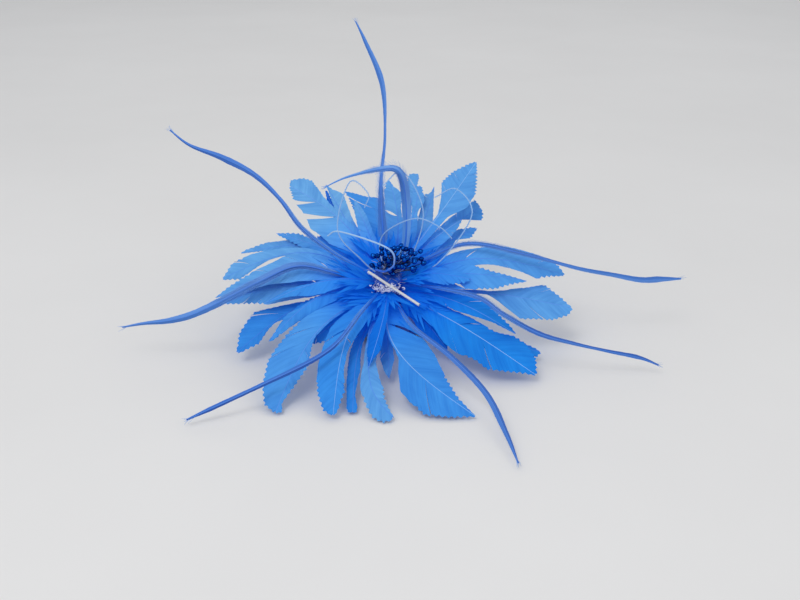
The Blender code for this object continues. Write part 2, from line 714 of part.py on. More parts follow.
def main():
    for obj in list(bpy.data.objects):
        bpy.data.objects.remove(obj)
    make_leaves(surface("feather_blue", (0.03, 0.22, 0.75), 0.6))
    make_slim_feathers(surface("slim_feather_blue", (0.07, 0.12, 0.6), 0.5))
    make_curled_quills(surface("pale_quill", (0.55, 0.6, 0.85), 0.4))
    make_stamens(surface("pearl_navy", (0.01, 0.03, 0.14), 0.15))
    make_core(surface("binding", (0.02, 0.08, 0.4), 0.7))
    make_glue_pad(surface("set_glue", (0.6, 0.62, 0.72), 0.3))
    make_disc(surface("blue_felt", (0.02, 0.1, 0.45), 0.9))
    make_clip(surface("clip_steel", (0.6, 0.6, 0.62), 0.3, 1.0))


main()
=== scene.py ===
"""The looks of a blue feather fascinator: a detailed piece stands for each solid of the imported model.

Lengths are in millimetres and are turned into metres as the meshes are made. Places in the bloom are
given as on a clock: clock is the angle round the core in degrees, 0 at the back and 90 at the right,
reach is the distance out from the core's axis, and lift is the height along that axis.
"""

import math
import random
from collections import namedtuple

import bmesh
import bpy
import numpy as np
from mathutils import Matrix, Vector, noise

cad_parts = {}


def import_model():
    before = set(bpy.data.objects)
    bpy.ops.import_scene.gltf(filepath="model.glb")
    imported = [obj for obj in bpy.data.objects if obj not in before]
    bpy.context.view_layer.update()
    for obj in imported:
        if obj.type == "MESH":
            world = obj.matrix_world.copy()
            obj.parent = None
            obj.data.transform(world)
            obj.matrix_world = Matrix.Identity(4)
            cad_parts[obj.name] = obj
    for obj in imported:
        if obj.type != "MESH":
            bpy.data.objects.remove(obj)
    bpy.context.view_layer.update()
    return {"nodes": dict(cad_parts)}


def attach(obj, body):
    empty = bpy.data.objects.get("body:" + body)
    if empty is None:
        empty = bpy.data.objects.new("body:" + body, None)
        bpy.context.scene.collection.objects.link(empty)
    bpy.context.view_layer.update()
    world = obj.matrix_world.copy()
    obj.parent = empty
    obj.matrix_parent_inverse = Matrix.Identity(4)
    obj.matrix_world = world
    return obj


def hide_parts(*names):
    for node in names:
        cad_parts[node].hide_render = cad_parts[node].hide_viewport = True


MM = 0.001
GOLDEN_ANGLE = 137.508

# The core, the clearance between neighbouring solids, and the ways that the bloom and the photo's
# camera lean
BLOOM_TILT = math.radians(25.0)
VIEW_PITCH = math.radians(24.0)
CLEARANCE = 0.3
CORE_RADIUS = 6.5
CORE_TOP = 11.0
CORE_MIDDLE = 36.0
CORE_FOOT = 5.0
AXIS = np.array([0.0, -math.sin(BLOOM_TILT), math.cos(BLOOM_TILT)])
BACK = np.array([0.0, math.cos(BLOOM_TILT), math.sin(BLOOM_TILT)])
RIGHT = np.array([1.0, 0.0, 0.0])
UP = np.array([0.0, 0.0, 1.0])
CORE = np.array([0.0, -math.tan(BLOOM_TILT) * (CORE_MIDDLE - CORE_FOOT), CORE_MIDDLE])
FRONT = np.array([0.0, -math.cos(VIEW_PITCH), math.sin(VIEW_PITCH)])
BLOOM_REACH = 75.0

# Stem: the lift and the radius along it
STEM_PROFILE = (
    (-26.5, 6.2), (-25.0, 4.9), (-22.0, 4.3), (-18.0, 4.4), (-14.0, 6.1), (0.0, 6.1), (9.5, 6.0), (11.0, 4.6),
)
STEM_FOOT = 6.2
STEM_CUT = -28.0
STEM_BUTTS = 13
WRAPS = 44
WRAP_STEPS = 26

# Glue pad, stamens, felt disc
PAD_FRONT = 3.0
PAD_RADIUS = 8.4
PAD_TOP = 13.8
BEADS = 30
EXTRA_BEADS = 26
BEAD_RADIUS = 1.5
BUNCH_RIGHT = 6.0
BUNCH_TOP = 27.0
BUNCH_DROP = 7.0
BUNCH_STEPS = (1.6, -1.0, 0.0)
DISC_LOW = 3.5
DISC_HIGH = 5.9
STITCHES = 40
LAMP_TARGET = Vector((0, -0.02, 0.04))

# Trimmed feathers
ROOT_REACH = CORE_RADIUS + 2 * CLEARANCE
QUILL_WIDTH = 2.2
BARE_SHARE = 0.05
BARB_SWEEP = 1.1
TOOTH_PITCH = 3.3
TOOTH_DEPTH = 1.5
FRAY_DEPTH = 0.35
CUP = 1.6
VANE_COLUMNS = np.array([0.0, 0.12, 0.3, 0.5, 0.7, 0.86, 1.0])
EDGE_STEP = 0.25
EDGE_SOFTENING = 8
TUFTS = 22

# A trimmed feather: its tip's clock, reach and lift, where its quill sits along the core, how far its
# middle rises and bows clockwise, how far its tip swings clockwise, from what share of its length it is
# pinked, and how pale its vanes and its quill are from 0 to 1. Near and far are the outlines of its
# anticlockwise and clockwise vanes: each point is a share of the length and a width, in order from the
# root, and an outline ends at the quill's tip. Gaps are where its barbs have parted, if they have.
# A low vane paleness also keeps a leaf that lies in shade under its neighbours deep blue: painted shade.
Leaf = namedtuple(
    "Leaf", "clock reach lift seat arch bow swing pinked pale quill near far gaps", defaults=[()]
)

# A gap between barbs: the vane that it is in, the share of the quill where it starts, how wide it gets,
# and whether it stays open as far as the feather's edge.
Gap = namedtuple("Gap", "vane root width open")

SHORT = ((0.2, 3), (0.45, 6), (0.7, 7), (0.9, 4.5))
SHORT_WIDE = ((0.2, 3.5), (0.45, 7), (0.7, 8), (0.9, 5))

LEAVES = (
    # upper left to upper right
    Leaf(
        322, 105, 6, 1, 9, 4, 0, 0.85, 0.8, 0.5,
        ((0.24, 9), (0.36, 16), (0.55, 18), (0.72, 12), (0.84, 10), (0.98, 2)),
        ((0.2, 5), (0.38, 4.5), (0.52, 3), (0.72, 6), (0.93, 14), (1, 12), (1.05, 5)),
        (Gap("near", 0.51, 6.5, True), Gap("near", 0.71, 5.5, True)),
    ),
    Leaf(
        335, 99, 1, -3, 8, -3, 0, 0.9, 0.9, 0.3,
        ((0.27, 2), (0.55, 4.5), (0.84, 1.5)),
        ((0.27, 4), (0.4, 4), (0.55, 4.5), (0.85, 8), (0.93, 2.5)),
    ),
    Leaf(
        355, 88, -9, -11, 8, 0, 0, 0.9, 0.3, 0.2,
        ((0.36, 7), (0.64, 12), (0.86, 17), (1.18, 22), (1.05, 8)),
        ((0.38, 3), (0.81, 2.5)),
        (Gap("near", 0.8, 3.5, True),),
    ),
    Leaf(
        341, 67, 12, 5, 6, -1, 0, 0.9, 0.85, 0.5,
        ((0.27, 4), (0.5, 5.5), (0.83, 3)),
        ((0.24, 4), (0.5, 3), (0.73, 3.5), (0.95, 1.5)),
    ),
    Leaf(
        0, 97, -2, -7, 8, 6, 0, 0.9, 0.65, 0.3,
        ((0.26, 5), (0.4, 8), (0.6, 8.5), (0.88, 5.5), (0.98, 3)),
        ((0.35, 4), (0.48, 3), (0.65, 3), (0.83, 5.5), (0.91, 2)),
        (Gap("near", 0.56, 3, False),),
    ),
    Leaf(
        10, 113, -9, -10, 8, 1, 0, 0.9, 0.7, 0.4,
        ((0.31, 3), (0.5, 3), (0.7, 5), (0.86, 7), (1.01, 7)),
        ((0.32, 5), (0.5, 3), (0.65, 1), (0.95, 1.5)),
    ),
    Leaf(
        13, 89, 3, 1, 8, 4, 0, 0.9, 0.6, 0.3,
        ((0.3, 1), (0.52, 1), (0.77, 3.5), (0.95, 4)),
        ((0.3, 5.5), (0.45, 4.5), (0.62, 2), (0.78, 5), (0.96, 2.5)),
    ),
    Leaf(
        18, 97, -3, -7, 8, 5, 0, 0.9, 0.75, 0.3,
        ((0.33, 3.5), (0.5, 4), (0.89, 6), (0.91, 1.5)),
        ((0.36, 6), (0.55, 6), (0.82, 2), (0.92, 1)),
    ),
    Leaf(
        30, 115, 12, 5, 8, 4.5, 0, 0.72, 0.6, 0.9,
        ((0.3, 1), (0.45, 1), (0.6, 7), (0.73, 13), (0.86, 10.5), (0.96, 4)),
        ((0.27, 4), (0.46, 5.5), (0.58, 12), (0.73, 11.5), (0.9, 5)),
        (Gap("near", 0.6, 0.6, True),),
    ),
    Leaf(
        37.5, 99, -9, -11, 6, -4, 0, 0.9, 0.45, 0.2,
        ((0.3, 2), (0.6, 4.5), (0.84, 7), (1.05, 9)),
        ((0.45, 5.5), (0.6, 5), (0.79, 1), (0.91, 9.5), (0.97, 5.5)),
    ),
    Leaf(
        46.5, 78.5, -4, -7, 6, -2, 0, 0.85, 0.45, 0.2,
        ((0.48, 1.5), (0.64, 3), (0.85, 6.5), (0.95, 4)),
        ((0.3, 7), (0.47, 8), (0.61, 5.5), (0.72, 1.5), (0.86, 5.5)),
    ),
    Leaf(
        42.5, 69, 7, 1, 6, 0, 0, 0.9, 0.55, 0.8,
        ((0.36, 2), (0.55, 3.5), (0.95, 2)),
        ((0.34, 5), (0.47, 6.5), (0.73, 5.5), (0.9, 3)),
    ),
    # right
    Leaf(
        86.5, 107, 3, -3, 14, -7, 0, 0.85, 0.5, 0.3,
        ((0.28, 6.5), (0.48, 10), (0.65, 12.5), (0.81, 12), (0.9, 10.5), (0.96, 7)),
        ((0.26, 5.5), (0.37, 6.5), (0.5, 4.5), (0.58, 4.5), (0.72, 7), (0.83, 9), (0.96, 2.5)),
        (Gap("near", 0.4, 1.2, False),),
    ),
    Leaf(
        92.5, 83, 9, 1, 9, 0, 0, 0.6, 0.45, 0.3,
        ((0.25, 2), (0.48, 7.5), (0.6, 7.5), (0.75, 4), (0.94, 1)),
        ((0.25, 7), (0.37, 11), (0.59, 11), (0.75, 9.5), (0.86, 5.5)),
        (Gap("far", 0.36, 3, False),),
    ),
    Leaf(
        97, 111, -4, -7, 8, -0.5, 0, 0.7, 0.6, 0.4,
        ((0.4, 1.5), (0.52, 1.5), (0.6, 3.5), (0.69, 8), (0.83, 15.5), (0.94, 7)),
        ((0.4, 1.5), (0.51, 1.5), (0.58, 6), (0.71, 16), (0.89, 12), (0.98, 6)),
        (Gap("far", 0.7, 0.5, True),),
    ),
    Leaf(
        118.5, 84, 4, -1, 5, -4, 0, 0.8, 0.05, 0.4,
        ((0.2, 6), (0.4, 9), (0.51, 12.5), (0.63, 11), (0.73, 7.5), (0.91, 4)),
        ((0.24, 3), (0.4, 6), (0.51, 6.5), (0.67, 4.5), (0.8, 2)),
        (Gap("near", 0.2, 1.5, False),),
    ),
    Leaf(
        112.5, 98, -16, -11, 6, 7, 0, 0.8, 0.1, 0.2,
        ((0.38, 4), (0.52, 6), (0.78, 5.5), (0.95, 2.5)),
        ((0.4, 4.5), (0.68, 9), (0.81, 9.5), (0.97, 5)),
    ),
    Leaf(
        127, 105.5, -4, -3, 7, 1, 0, 0.6, 0.05, 1.0,
        ((0.12, 7.5), (0.38, 7.5), (0.48, 9), (0.67, 10), (0.76, 15.5), (0.84, 15.5), (0.94, 10)),
        ((0.22, 5), (0.36, 10.5), (0.45, 15), (0.56, 16.5), (0.67, 14.5), (0.76, 15.5), (0.84, 10.5)),
        (Gap("near", 0.46, 1.4, False), Gap("far", 0.62, 0.8, True)),
    ),
    Leaf(
        141, 55.5, -7, -11, 6, -1.5, 0, 0.8, 0, 0.3,
        ((0.22, 10), (0.48, 8), (0.7, 6), (0.88, 3.5)),
        ((0.26, 2.5), (0.53, 6), (0.77, 6)),
    ),
    # bottom
    Leaf(
        154.5, 111, 9, -1, 8, 19.5, 0, 0.75, 0.25, 0.9,
        ((0.18, 12), (0.32, 17), (0.49, 18), (0.61, 16), (0.77, 9), (0.88, 3.5), (0.96, 1)),
        ((0.2, 1), (0.46, 1), (0.52, 2.5), (0.66, 15), (0.81, 17), (0.91, 9.5)),
        (Gap("near", 0.26, 3, False),),
    ),
    Leaf(
        179, 67.5, -2, -12, 5, 0.5, 0, 0.95, 0.6, 0.4,
        ((0.33, 3), (0.67, 3), (0.78, 3.5)),
        ((0.33, 3.5), (0.55, 4), (0.75, 5), (0.92, 2.5)),
    ),
    Leaf(
        183, 102, 10.5, -7, 8, 8, -10, 0.8, 0.65, 0.3,
        ((0.22, 6), (0.44, 7), (0.6, 4.5), (0.8, 6.5), (0.91, 3)),
        ((0.24, 1), (0.44, 1), (0.6, 2.5), (0.7, 5), (0.92, 8.5), (0.98, 6)),
    ),
    Leaf(
        188, 71.5, 13, 5, 7, -3, 0, 0.9, 0, 0.4,
        ((0.5, 2.5), (0.82, 3.5), (0.9, 1.5)),
        ((0.5, 3.5), (0.7, 5.5), (0.86, 4)),
    ),
    Leaf(
        190.5, 98.5, 7, -9, 6, 6.5, 0, 0.95, 0.15, 0.3,
        ((0.2, 2.5), (0.48, 1.5), (0.69, 3), (0.87, 1), (0.98, 3)),
        ((0.22, 3.5), (0.55, 5), (0.84, 4), (0.98, 3.5)),
    ),
    Leaf(
        195.5, 105, 11, 1, 9, 8, 0, 0.8, 0.2, 0.7,
        ((0.27, 6.5), (0.4, 6), (0.6, 3), (0.72, 3), (0.85, 5.5), (0.97, 2.5)),
        ((0.27, 6), (0.43, 11.5), (0.71, 12), (0.86, 10.5), (0.97, 6)),
        (Gap("far", 0.42, 1.5, False), Gap("near", 0.5, 1.2, False)),
    ),
    Leaf(
        211.5, 113.5, 7, -5, 11, 10.5, 0, 0.5, 0.4, 0.4,
        ((0.17, 1), (0.54, 1.5), (0.71, 7.5), (0.84, 5), (0.94, 1.5), (0.98, 4)),
        ((0.2, 6.5), (0.36, 11), (0.53, 14.5), (0.73, 17), (0.87, 13.5), (0.97, 8)),
        (Gap("near", 0.62, 0.8, True),),
    ),
    Leaf(
        245, 97.5, -12, -11, 9, 10, 0, 0.7, 0.2, 0.2,
        ((0.4, 6.5), (0.51, 6), (0.61, 4), (0.69, 1), (0.76, 2.5), (0.86, 6), (0.98, 2)),
        ((0.38, 1), (0.47, 2.5), (0.63, 9.5), (0.75, 16), (0.9, 10.5)),
        (Gap("far", 0.6, 0.7, True),),
    ),
    Leaf(
        235.5, 82, 5, 2, 6, 9, 0, 0.9, 0.3, 0.3,
        ((0.39, 6.5), (0.63, 6.5), (0.72, 5), (0.96, 2)),
        ((0.39, 1), (0.64, 1.5), (0.73, 4.5), (0.91, 1.5)),
    ),
    # left
    Leaf(
        255.5, 75, 6, 6, 8, 1.5, 0, 0.95, 0.3, 0.4,
        ((0.34, 6), (0.48, 7.5), (0.61, 7), (0.83, 2)),
        ((0.33, 1), (0.58, 1), (0.75, 3), (0.93, 1)),
    ),
    Leaf(
        263, 105, 0, -3, 8, 3, 0, 0.7, 0.6, 0.3,
        ((0.17, 3), (0.26, 6.5), (0.4, 10), (0.66, 11), (0.78, 8.5), (0.95, 3)),
        ((0.2, 6.5), (0.4, 10.5), (0.58, 11.5), (0.67, 10.5), (0.85, 6)),
        (Gap("far", 0.36, 2.6, False),),
    ),
    Leaf(
        275.5, 102, -4, -7, 15, 14.5, 0, 0.85, 0.75, 0.3,
        ((0.32, 6), (0.45, 5.5), (0.6, 1), (0.7, 1), (0.84, 5), (0.9, 6.5), (0.98, 2)),
        ((0.35, 2.5), (0.55, 5), (0.72, 8.5), (0.79, 10.5), (0.92, 10.5)),
        (Gap("far", 0.8, 1, True),),
    ),
    Leaf(
        291.5, 101, -10, -11, 14, 11, 0, 0.85, 0.7, 0.3,
        ((0.36, 6.5), (0.5, 7.5), (0.72, 4), (0.92, 1)),
        ((0.4, 2), (0.54, 4), (0.68, 7), (0.86, 7), (0.96, 3.5)),
    ),
    Leaf(
        301.5, 83, 2, -3, 7, 1, 0, 0.75, 0.5, 0.4,
        ((0.32, 1), (0.44, 4), (0.57, 5.5), (0.77, 4), (0.95, 1.5)),
        ((0.35, 1.5), (0.47, 1.5), (0.62, 2.5), (0.75, 6), (0.83, 6.5)),
        (Gap("near", 0.42, 1.6, False),),
    ),
    # narrow ones half hidden by their neighbours
    Leaf(
        335, 101, -6, -7, 8, -5.5, 0, 0.9, 0, 0.2,
        ((0.33, 2.5), (0.5, 2.5), (0.84, 2)),
        ((0.33, 1), (0.66, 2), (0.99, 2)),
    ),
    Leaf(
        263, 103, 4, 1, 10, 10.5, 0, 0.75, 0.7, 0.3,
        ((0.26, 8), (0.42, 10.5), (0.54, 10), (0.67, 7.5), (0.88, 4.5)),
        ((0.2, 3.5), (0.4, 9.5), (0.48, 13), (0.54, 13), (0.6, 10), (0.72, 7.5), (0.9, 4)),
        (Gap("far", 0.3, 1.2, False),),
    ),
    # short ones round the core
    Leaf(66, 60, -2, -7, 5, 0, 0, 0.65, 0.4, 0.4, SHORT_WIDE, SHORT_WIDE),
    Leaf(100, 50, 16, 9, 5, 0, 0, 0.65, 0.35, 0.3, SHORT, SHORT),
    Leaf(224, 66, 4, -7, 5, 0, 0, 0.65, 0.15, 0.3, SHORT_WIDE, SHORT_WIDE),
    Leaf(248, 60, 4, -7, 5, 0, 0, 0.65, 0.15, 0.3, SHORT, SHORT),
    Leaf(310, 58, 6, -7, 4, 0, 0, 0.65, 0.35, 0.3, SHORT, SHORT_WIDE),
)

# A slim feather: its way out from the core, as places with a clock, a reach and a lift each. Then half of
# its width at the shares SLIM_SHARES of its length, from what share and up to what share its edges are
# fluffy, how far the fluff stands out, how much lavender it shows from 0 to 1, and how far its two sides
# are folded back.
Slim = namedtuple("Slim", "way widths fluffy_from fluffy_to fluff lavender fold")
SLIM_SHARES = (0.0, 0.15, 0.35, 0.55, 0.75, 0.9, 1.0)
SLIM_COLUMNS = np.array([-1.0, -0.6, -0.2, 0.0, 0.2, 0.6, 1.0])
SLIM_END = 0.985
SLIM_BARE_SHARE = 0.03
CROSSING_SLIM = 2
IVORY_SHARE = 0.185

SLIM_FEATHERS = (
    # top
    Slim(
        (
            (356, 6.9, 3), (354, 24, 12), (355, 50, 37), (358.5, 81, 49.5), (358, 117, 62), (354, 146, 74),
            (352, 162, 80.5),
        ),
        (0.8, 2.8, 0.9, 0.8, 1.85, 1.15, 0.2), 0.08, 0.42, 1.5, 0.5, 0.4,
    ),
    # upper left, its bare quill lying across the core
    Slim(
        (
            (144, 31, 12.5), (169, 12.2, 13.3), (257, 12.8, 17.5), (278, 32, 25), (289.5, 53.5, 32),
            (299.5, 74, 38), (303.5, 97, 42), (303.5, 122, 43.5), (302.5, 146, 44), (303.5, 166, 47),
        ),
        (0.5, 0.5, 1.4, 1.2, 2.1, 0.9, 0.3), 0.24, 0.5, 0.5, 0.3, 0.4,
    ),
    # left
    Slim(
        (
            (272, 6.9, 5), (268, 27, 12), (268.5, 52, 20), (261, 75, 18), (255.5, 110, 10.5), (256, 127, 6),
            (258.5, 145, 0.5), (260, 160, -5),
        ),
        (0.8, 1.5, 2.4, 2.4, 2.0, 0.9, 0.3), 0.1, 0.6, 0.9, 0.55, 0.5,
    ),
    # lower left
    Slim(
        ((208, 6.9, 6), (202, 38, 19), (205, 74, 24), (217, 111, 21), (225, 150, 13.5)),
        (0.6, 0.9, 1.2, 1.4, 1.1, 1.2, 0.3), 0.1, 0.4, 0.5, 0.1, 0.5,
    ),
    # lower right
    Slim(
        ((165, 6.9, 5), (162, 42, 14), (153, 77, 20), (149.5, 104, 16), (153, 134, 23), (155.5, 157, 29.5)),
        (0.6, 0.9, 1.3, 1.6, 1.7, 1.0, 0.2), 0.1, 0.3, 0.4, 0.3, 0.5,
    ),
    # right, lower one
    Slim(
        (
            (110, 6.9, 4), (113, 27, 12), (116, 57, 19.5), (119.5, 75, 18.5), (118.5, 97, 12.5),
            (115, 116, 7), (112, 135, 2), (109.5, 153, -3.5), (109, 166, -8),
        ),
        (0.6, 0.9, 1.3, 1.4, 0.8, 1.2, 0.3), 0.1, 0.5, 0.6, 0.2, 0.5,
    ),
    # right, upper one
    Slim(
        (
            (66, 6.9, 5), (63, 26, 12), (72, 51, 21), (84.5, 83, 19.5), (88.5, 113, 13), (88.5, 134, 7),
            (88.5, 152, 2), (87.5, 166, -1), (87, 181, -3),
        ),
        (0.6, 1.0, 1.3, 1.0, 1.3, 1.9, 0.3), 0.06, 0.5, 1.0, 0.5, 0.4,
    ),
    # back, bent over to the left
    Slim(
        (
            (24, 6.9, 7), (26, 23, 14), (17, 37, 36), (11, 36, 60), (353.5, 36.5, 61.5), (330, 44, 54.5),
            (319, 49.5, 49.5), (313, 53, 45.5),
        ),
        (0.8, 2.2, 2.8, 2.3, 1.0, 0.5, 0.2), 0.35, 0.75, 1.1, 1.0, 0.25,
    ),
)

# The curled quills' ways, the last one being the thick one.
CURLED_QUILLS = (
    ((300, 7.6, 8), (300, 18, 14), (300, 34, 31), (328, 42, 52), (338, 30, 50), (330, 27, 43)),
    ((45, 7.6, 8), (50, 21, 19), (40, 32, 41), (13, 39, 58), (354, 29, 55)),
    ((340, 7.6, 8), (345, 19, 18), (3, 19, 30), (47, 23, 42), (71, 32, 40), (79, 38, 34)),
    ((88, 7.6, 8), (85, 22, 11), (76, 37, 21), (66, 54, 40), (47, 55, 45), (38, 45, 40)),
    (
        (275, 7.4, 14.6), (226, 9, 22), (185, 14, 29), (165, 15, 36), (180, 9, 43), (278, 27, 43),
        (279, 35, 38),
    ),
)


def flower_point(clock, reach, lift):
    """A place of the bloom as a point."""
    turn = math.radians(clock)
    return CORE + BACK * (reach * math.cos(turn)) + RIGHT * (reach * math.sin(turn)) + AXIS * lift


def unit(vectors):
    return vectors / np.maximum(np.linalg.norm(vectors, axis=-1, keepdims=True), 1e-9)


def beside(heading, up):
    """The directions to the side of a heading and above it, seen with up on top."""
    side = unit(np.cross(heading, up))
    return side, np.cross(side, heading)


def steps(count, start=0.0):
    """Even shares from start to 1, one to a row."""
    return np.linspace(start, 1, count)[:, None]


def run_along(points):
    """How far each point is from the first one, along the line through them all."""
    return np.concatenate([[0.0], np.cumsum(np.linalg.norm(np.diff(points, axis=0), axis=1))])


def between(walked, run, rows):
    """The rows of a table read at places walked, which may lie between two of them."""
    return np.stack([np.interp(walked, run, rows[:, k]) for k in range(rows.shape[1])], -1)


def layers(grid, *values):
    """Values for each point of a grid, one kind after the other."""
    return np.stack([np.broadcast_to(value, grid.shape[:2]) for value in values], -1)


def wander(places, spacing, y, z):
    """Soft noise at each of these places along a line."""
    return np.array([noise.noise(Vector((place * spacing, y, z))) for place in places])


class Line:
    """A smooth line through many points, read by its share of the length."""

    def __init__(self, points):
        self.points = np.asarray(points, float)
        self.run = run_along(self.points)
        self.length = self.run[-1]
        self.headings = unit(np.gradient(self.points, self.run, axis=0))

    def at(self, shares):
        """Points and headings at these shares. Past an end the line goes straight on."""
        shares = np.asarray(shares, float)
        inside = np.clip(shares, 0.0, 1.0) * self.length
        headings = unit(between(inside, self.run, self.headings))
        past = (shares * self.length - inside)[..., None]
        return between(inside, self.run, self.points) + headings * past, headings

    def stand(self, shares, up):
        """Points at these shares, and the directions ahead, to the side and above there."""
        points, ahead = self.at(shares)
        return points, ahead, *beside(ahead, up)


def leaf_line(leaf):
    """The quill of a trimmed feather, from the core's side to its tip."""
    root = flower_point(leaf.clock, ROOT_REACH, leaf.seat)
    tip = flower_point(leaf.clock, leaf.reach, leaf.lift)
    side = flower_point(leaf.clock + 90, 1, 0) - CORE
    t = steps(121)
    belly = np.sin(math.pi * t**0.85)
    curl = np.maximum(0.0, t - 0.75) ** 2 * 16
    sideways = side * (leaf.bow * belly + leaf.swing * curl)
    return Line(root + (tip - root) * t + AXIS * (leaf.arch * belly) + sideways)


def strand_line(way):
    """A smooth line through the places of a strand's way."""
    knots = [flower_point(*place) for place in way]
    knots = [knots[0] * 2 - knots[1]] + knots + [knots[-1] * 2 - knots[-2]]
    spans = len(knots) - 3
    last = 160
    points = []
    for step in range(last + 1):
        share = step / last
        i = min(int(share * spans), spans - 1)
        t = share * spans - i
        a, b, c, d = knots[i : i + 4]
        points.append(
            0.5 * (2 * b + (c - a) * t + (2 * a - 5 * b + 4 * c - d) * t**2 + (3 * b - a - 3 * c + d) * t**3)
        )
    return Line(points)


def ring_faces(count, sides):
    """The faces of a closed body through rings of points: its two ends, then ring after ring."""
    last = (count - 1) * sides
    faces = [tuple(range(sides)), tuple(last + k for k in reversed(range(sides)))]
    for first in range(0, last, sides):
        for k in range(sides):
            after = (k + 1) % sides
            faces.append((first + k, first + sides + k, first + sides + after, first + after))
    return faces


def make_object(name, data):
    """An object with this data, put into the scene."""
    obj = bpy.data.objects.new(name, data)
    bpy.context.scene.collection.objects.link(obj)
    return obj


class Mesh:
    """Gathers closed bodies into one piece. Each point keeps barb, its place on the feather for the
    material's streaks, and tone: how far out it is, how pale, and its feather's own number."""

    def __init__(self):
        self.points = []
        self.faces = []
        self.slots = []
        self.barbs = []
        self.tones = []
        self.count = 0

    def add(self, points, faces, slot=0, barb=(0, 0, 0), tone=(0, 0, 0)):
        points = np.asarray(points, float).reshape(-1, 3)
        self.points.append(points)
        self.faces.extend([tuple(int(i) + self.count for i in face) for face in faces])
        self.slots.extend([slot] * len(faces))
        for kept, values in ((self.barbs, barb), (self.tones, tone)):
            kept.append(np.broadcast_to(np.asarray(values, float).reshape(-1, 3), points.shape))
        self.count += len(points)

    def sheet(self, grid, ups, thickness, barb, tone):
        """A thin closed sheet over a grid of points, half of its thickness to each side."""
        rows, columns = grid.shape[:2]
        half = ups * (np.asarray(thickness)[..., None] / 2)
        size = rows * columns
        front = np.arange(size).reshape(rows, columns)
        faces = []
        for i in range(rows - 1):
            for j in range(columns - 1):
                a, b, c, d = front[i, j], front[i, j + 1], front[i + 1, j + 1], front[i + 1, j]
                faces.append((a, b, c, d))
                faces.append((size + a, size + d, size + c, size + b))
        rim = [*front[0], *front[1:, -1], *front[-1, -2::-1], *front[-2:0:-1, 0]]
        for a, b in zip(rim, rim[1:] + rim[:1]):
            faces.append((a, size + a, size + b, b))
        both = np.concatenate([(grid + half).reshape(-1, 3), (grid - half).reshape(-1, 3)])
        twice = [np.concatenate([np.asarray(values).reshape(-1, 3)] * 2) for values in (barb, tone)]
        self.add(both, faces, 0, *twice)

    def tube(self, points, radii, sides, slot=0, tone=(0, 0, 0), up=FRONT, flat=1.0):
        """A closed round strand through points, flattened along up by flat. It has one radius, one at
        each end or one at each point."""
        points = np.asarray(points, float)
        count = len(points)
        across, above = beside(unit(np.gradient(points, axis=0)), up)
        turns = np.arange(sides) * 2 * math.pi / sides
        radii = np.linspace(*radii, count) if np.size(radii) == 2 else np.broadcast_to(radii, (count,))
        rings = (
            points[:, None]
            + across[:, None] * (radii[:, None] * np.cos(turns))[..., None]
            + above[:, None] * (radii[:, None] * np.sin(turns) * flat)[..., None]
        )
        along = np.repeat(run_along(points), sides)
        barb = np.stack([along, np.tile(turns, count), np.repeat(radii, sides)], -1)
        tone = np.broadcast_to(np.asarray(tone, float).reshape(-1, 1, 3), (count, sides, 3))
        self.add(rings, ring_faces(count, sides), slot, barb, tone)

    def turned(self, rings, tone=(0, 0, 0)):
        """A closed body through rings of points, each ring as long as the next."""
        self.add(np.array(rings), ring_faces(len(rings), len(rings[0])), tone=tone)

    def build(self, name, materials, node, smooth_angle=50):
        """Makes the object, and lets it ride on the root and stand for its CAD node."""
        mesh = bpy.data.meshes.new(name)
        points = np.concatenate(self.points) * MM
        mesh.from_pydata(points.tolist(), [], self.faces)
        mesh.polygons.foreach_set("material_index", self.slots)
        for key, values in (("barb", self.barbs), ("tone", self.tones)):
            layer = mesh.attributes.new(key, "FLOAT_VECTOR", "POINT")
            layer.data.foreach_set("vector", np.concatenate(values).astype(np.float32).ravel())
        for material in materials:
            mesh.materials.append(material)
        bm = bmesh.new()
        bm.from_mesh(mesh)
        bmesh.ops.recalc_face_normals(bm, faces=bm.faces)
        bm.to_mesh(mesh)
        bm.free()
        mesh.shade_smooth()
        mesh.set_sharp_from_angle(angle=math.radians(smooth_angle))
        mesh.update()
        obj = make_object(name, mesh)
        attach(obj, "root")
        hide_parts(node)


def tones(points, pale, own):
    """The tone of points, which runs from 0 at the core to 1 at BLOOM_REACH, with how pale they are."""
    points = np.asarray(points, float).reshape(-1, 3)
    out = np.clip(np.linalg.norm(points - CORE, axis=-1) / BLOOM_REACH, 0.0, 1.0)
    return np.stack([out, np.full(len(points), pale), np.full(len(points), own)], -1)


def ripple_at(walked, own, sign):
    """A soft wave for each place along a vane's edge and each column of the vane."""
    spacing = 0.06
    height = 0.7
    across = 1.1
    deep = own * 13 + sign * 3
    values = [wander(walked, spacing, c * across, deep) for c in VANE_COLUMNS]
    return np.stack(values, -1)[..., None] * height


class Edge:
    """A vane's outline, walked from its root to the quill's tip in millimetres."""

    def __init__(self, outline, length):
        corners = np.array([(BARE_SHARE, QUILL_WIDTH / 2), *outline, (1.0, 0.0)]) * (length, 1.0)
        run = run_along(corners)
        path = between(np.arange(0.0, run[-1], EDGE_STEP), run, corners)
        wide = EDGE_SOFTENING
        weights = np.exp(-((np.arange(-wide, wide + 1) / (wide / 2)) ** 2))
        ends = np.concatenate([np.repeat(path[:1], wide, 0), path, np.repeat(corners[-1:], wide, 0)])
        soft = [np.convolve(ends[:, k], weights / weights.sum(), "valid") for k in range(2)]
        self.path = np.stack(soft, -1)
        self.run = run_along(self.path)
        slope = unit(np.gradient(self.path, self.run, axis=0))
        self.outwards = np.stack([-slope[:, 1], slope[:, 0]], -1)
        self.total = self.run[-1]

    def at(self, walked):
        """How far along the quill and out from it the edge is, and which way is out."""
        return between(walked, self.run, self.path), between(walked, self.run, self.outwards)


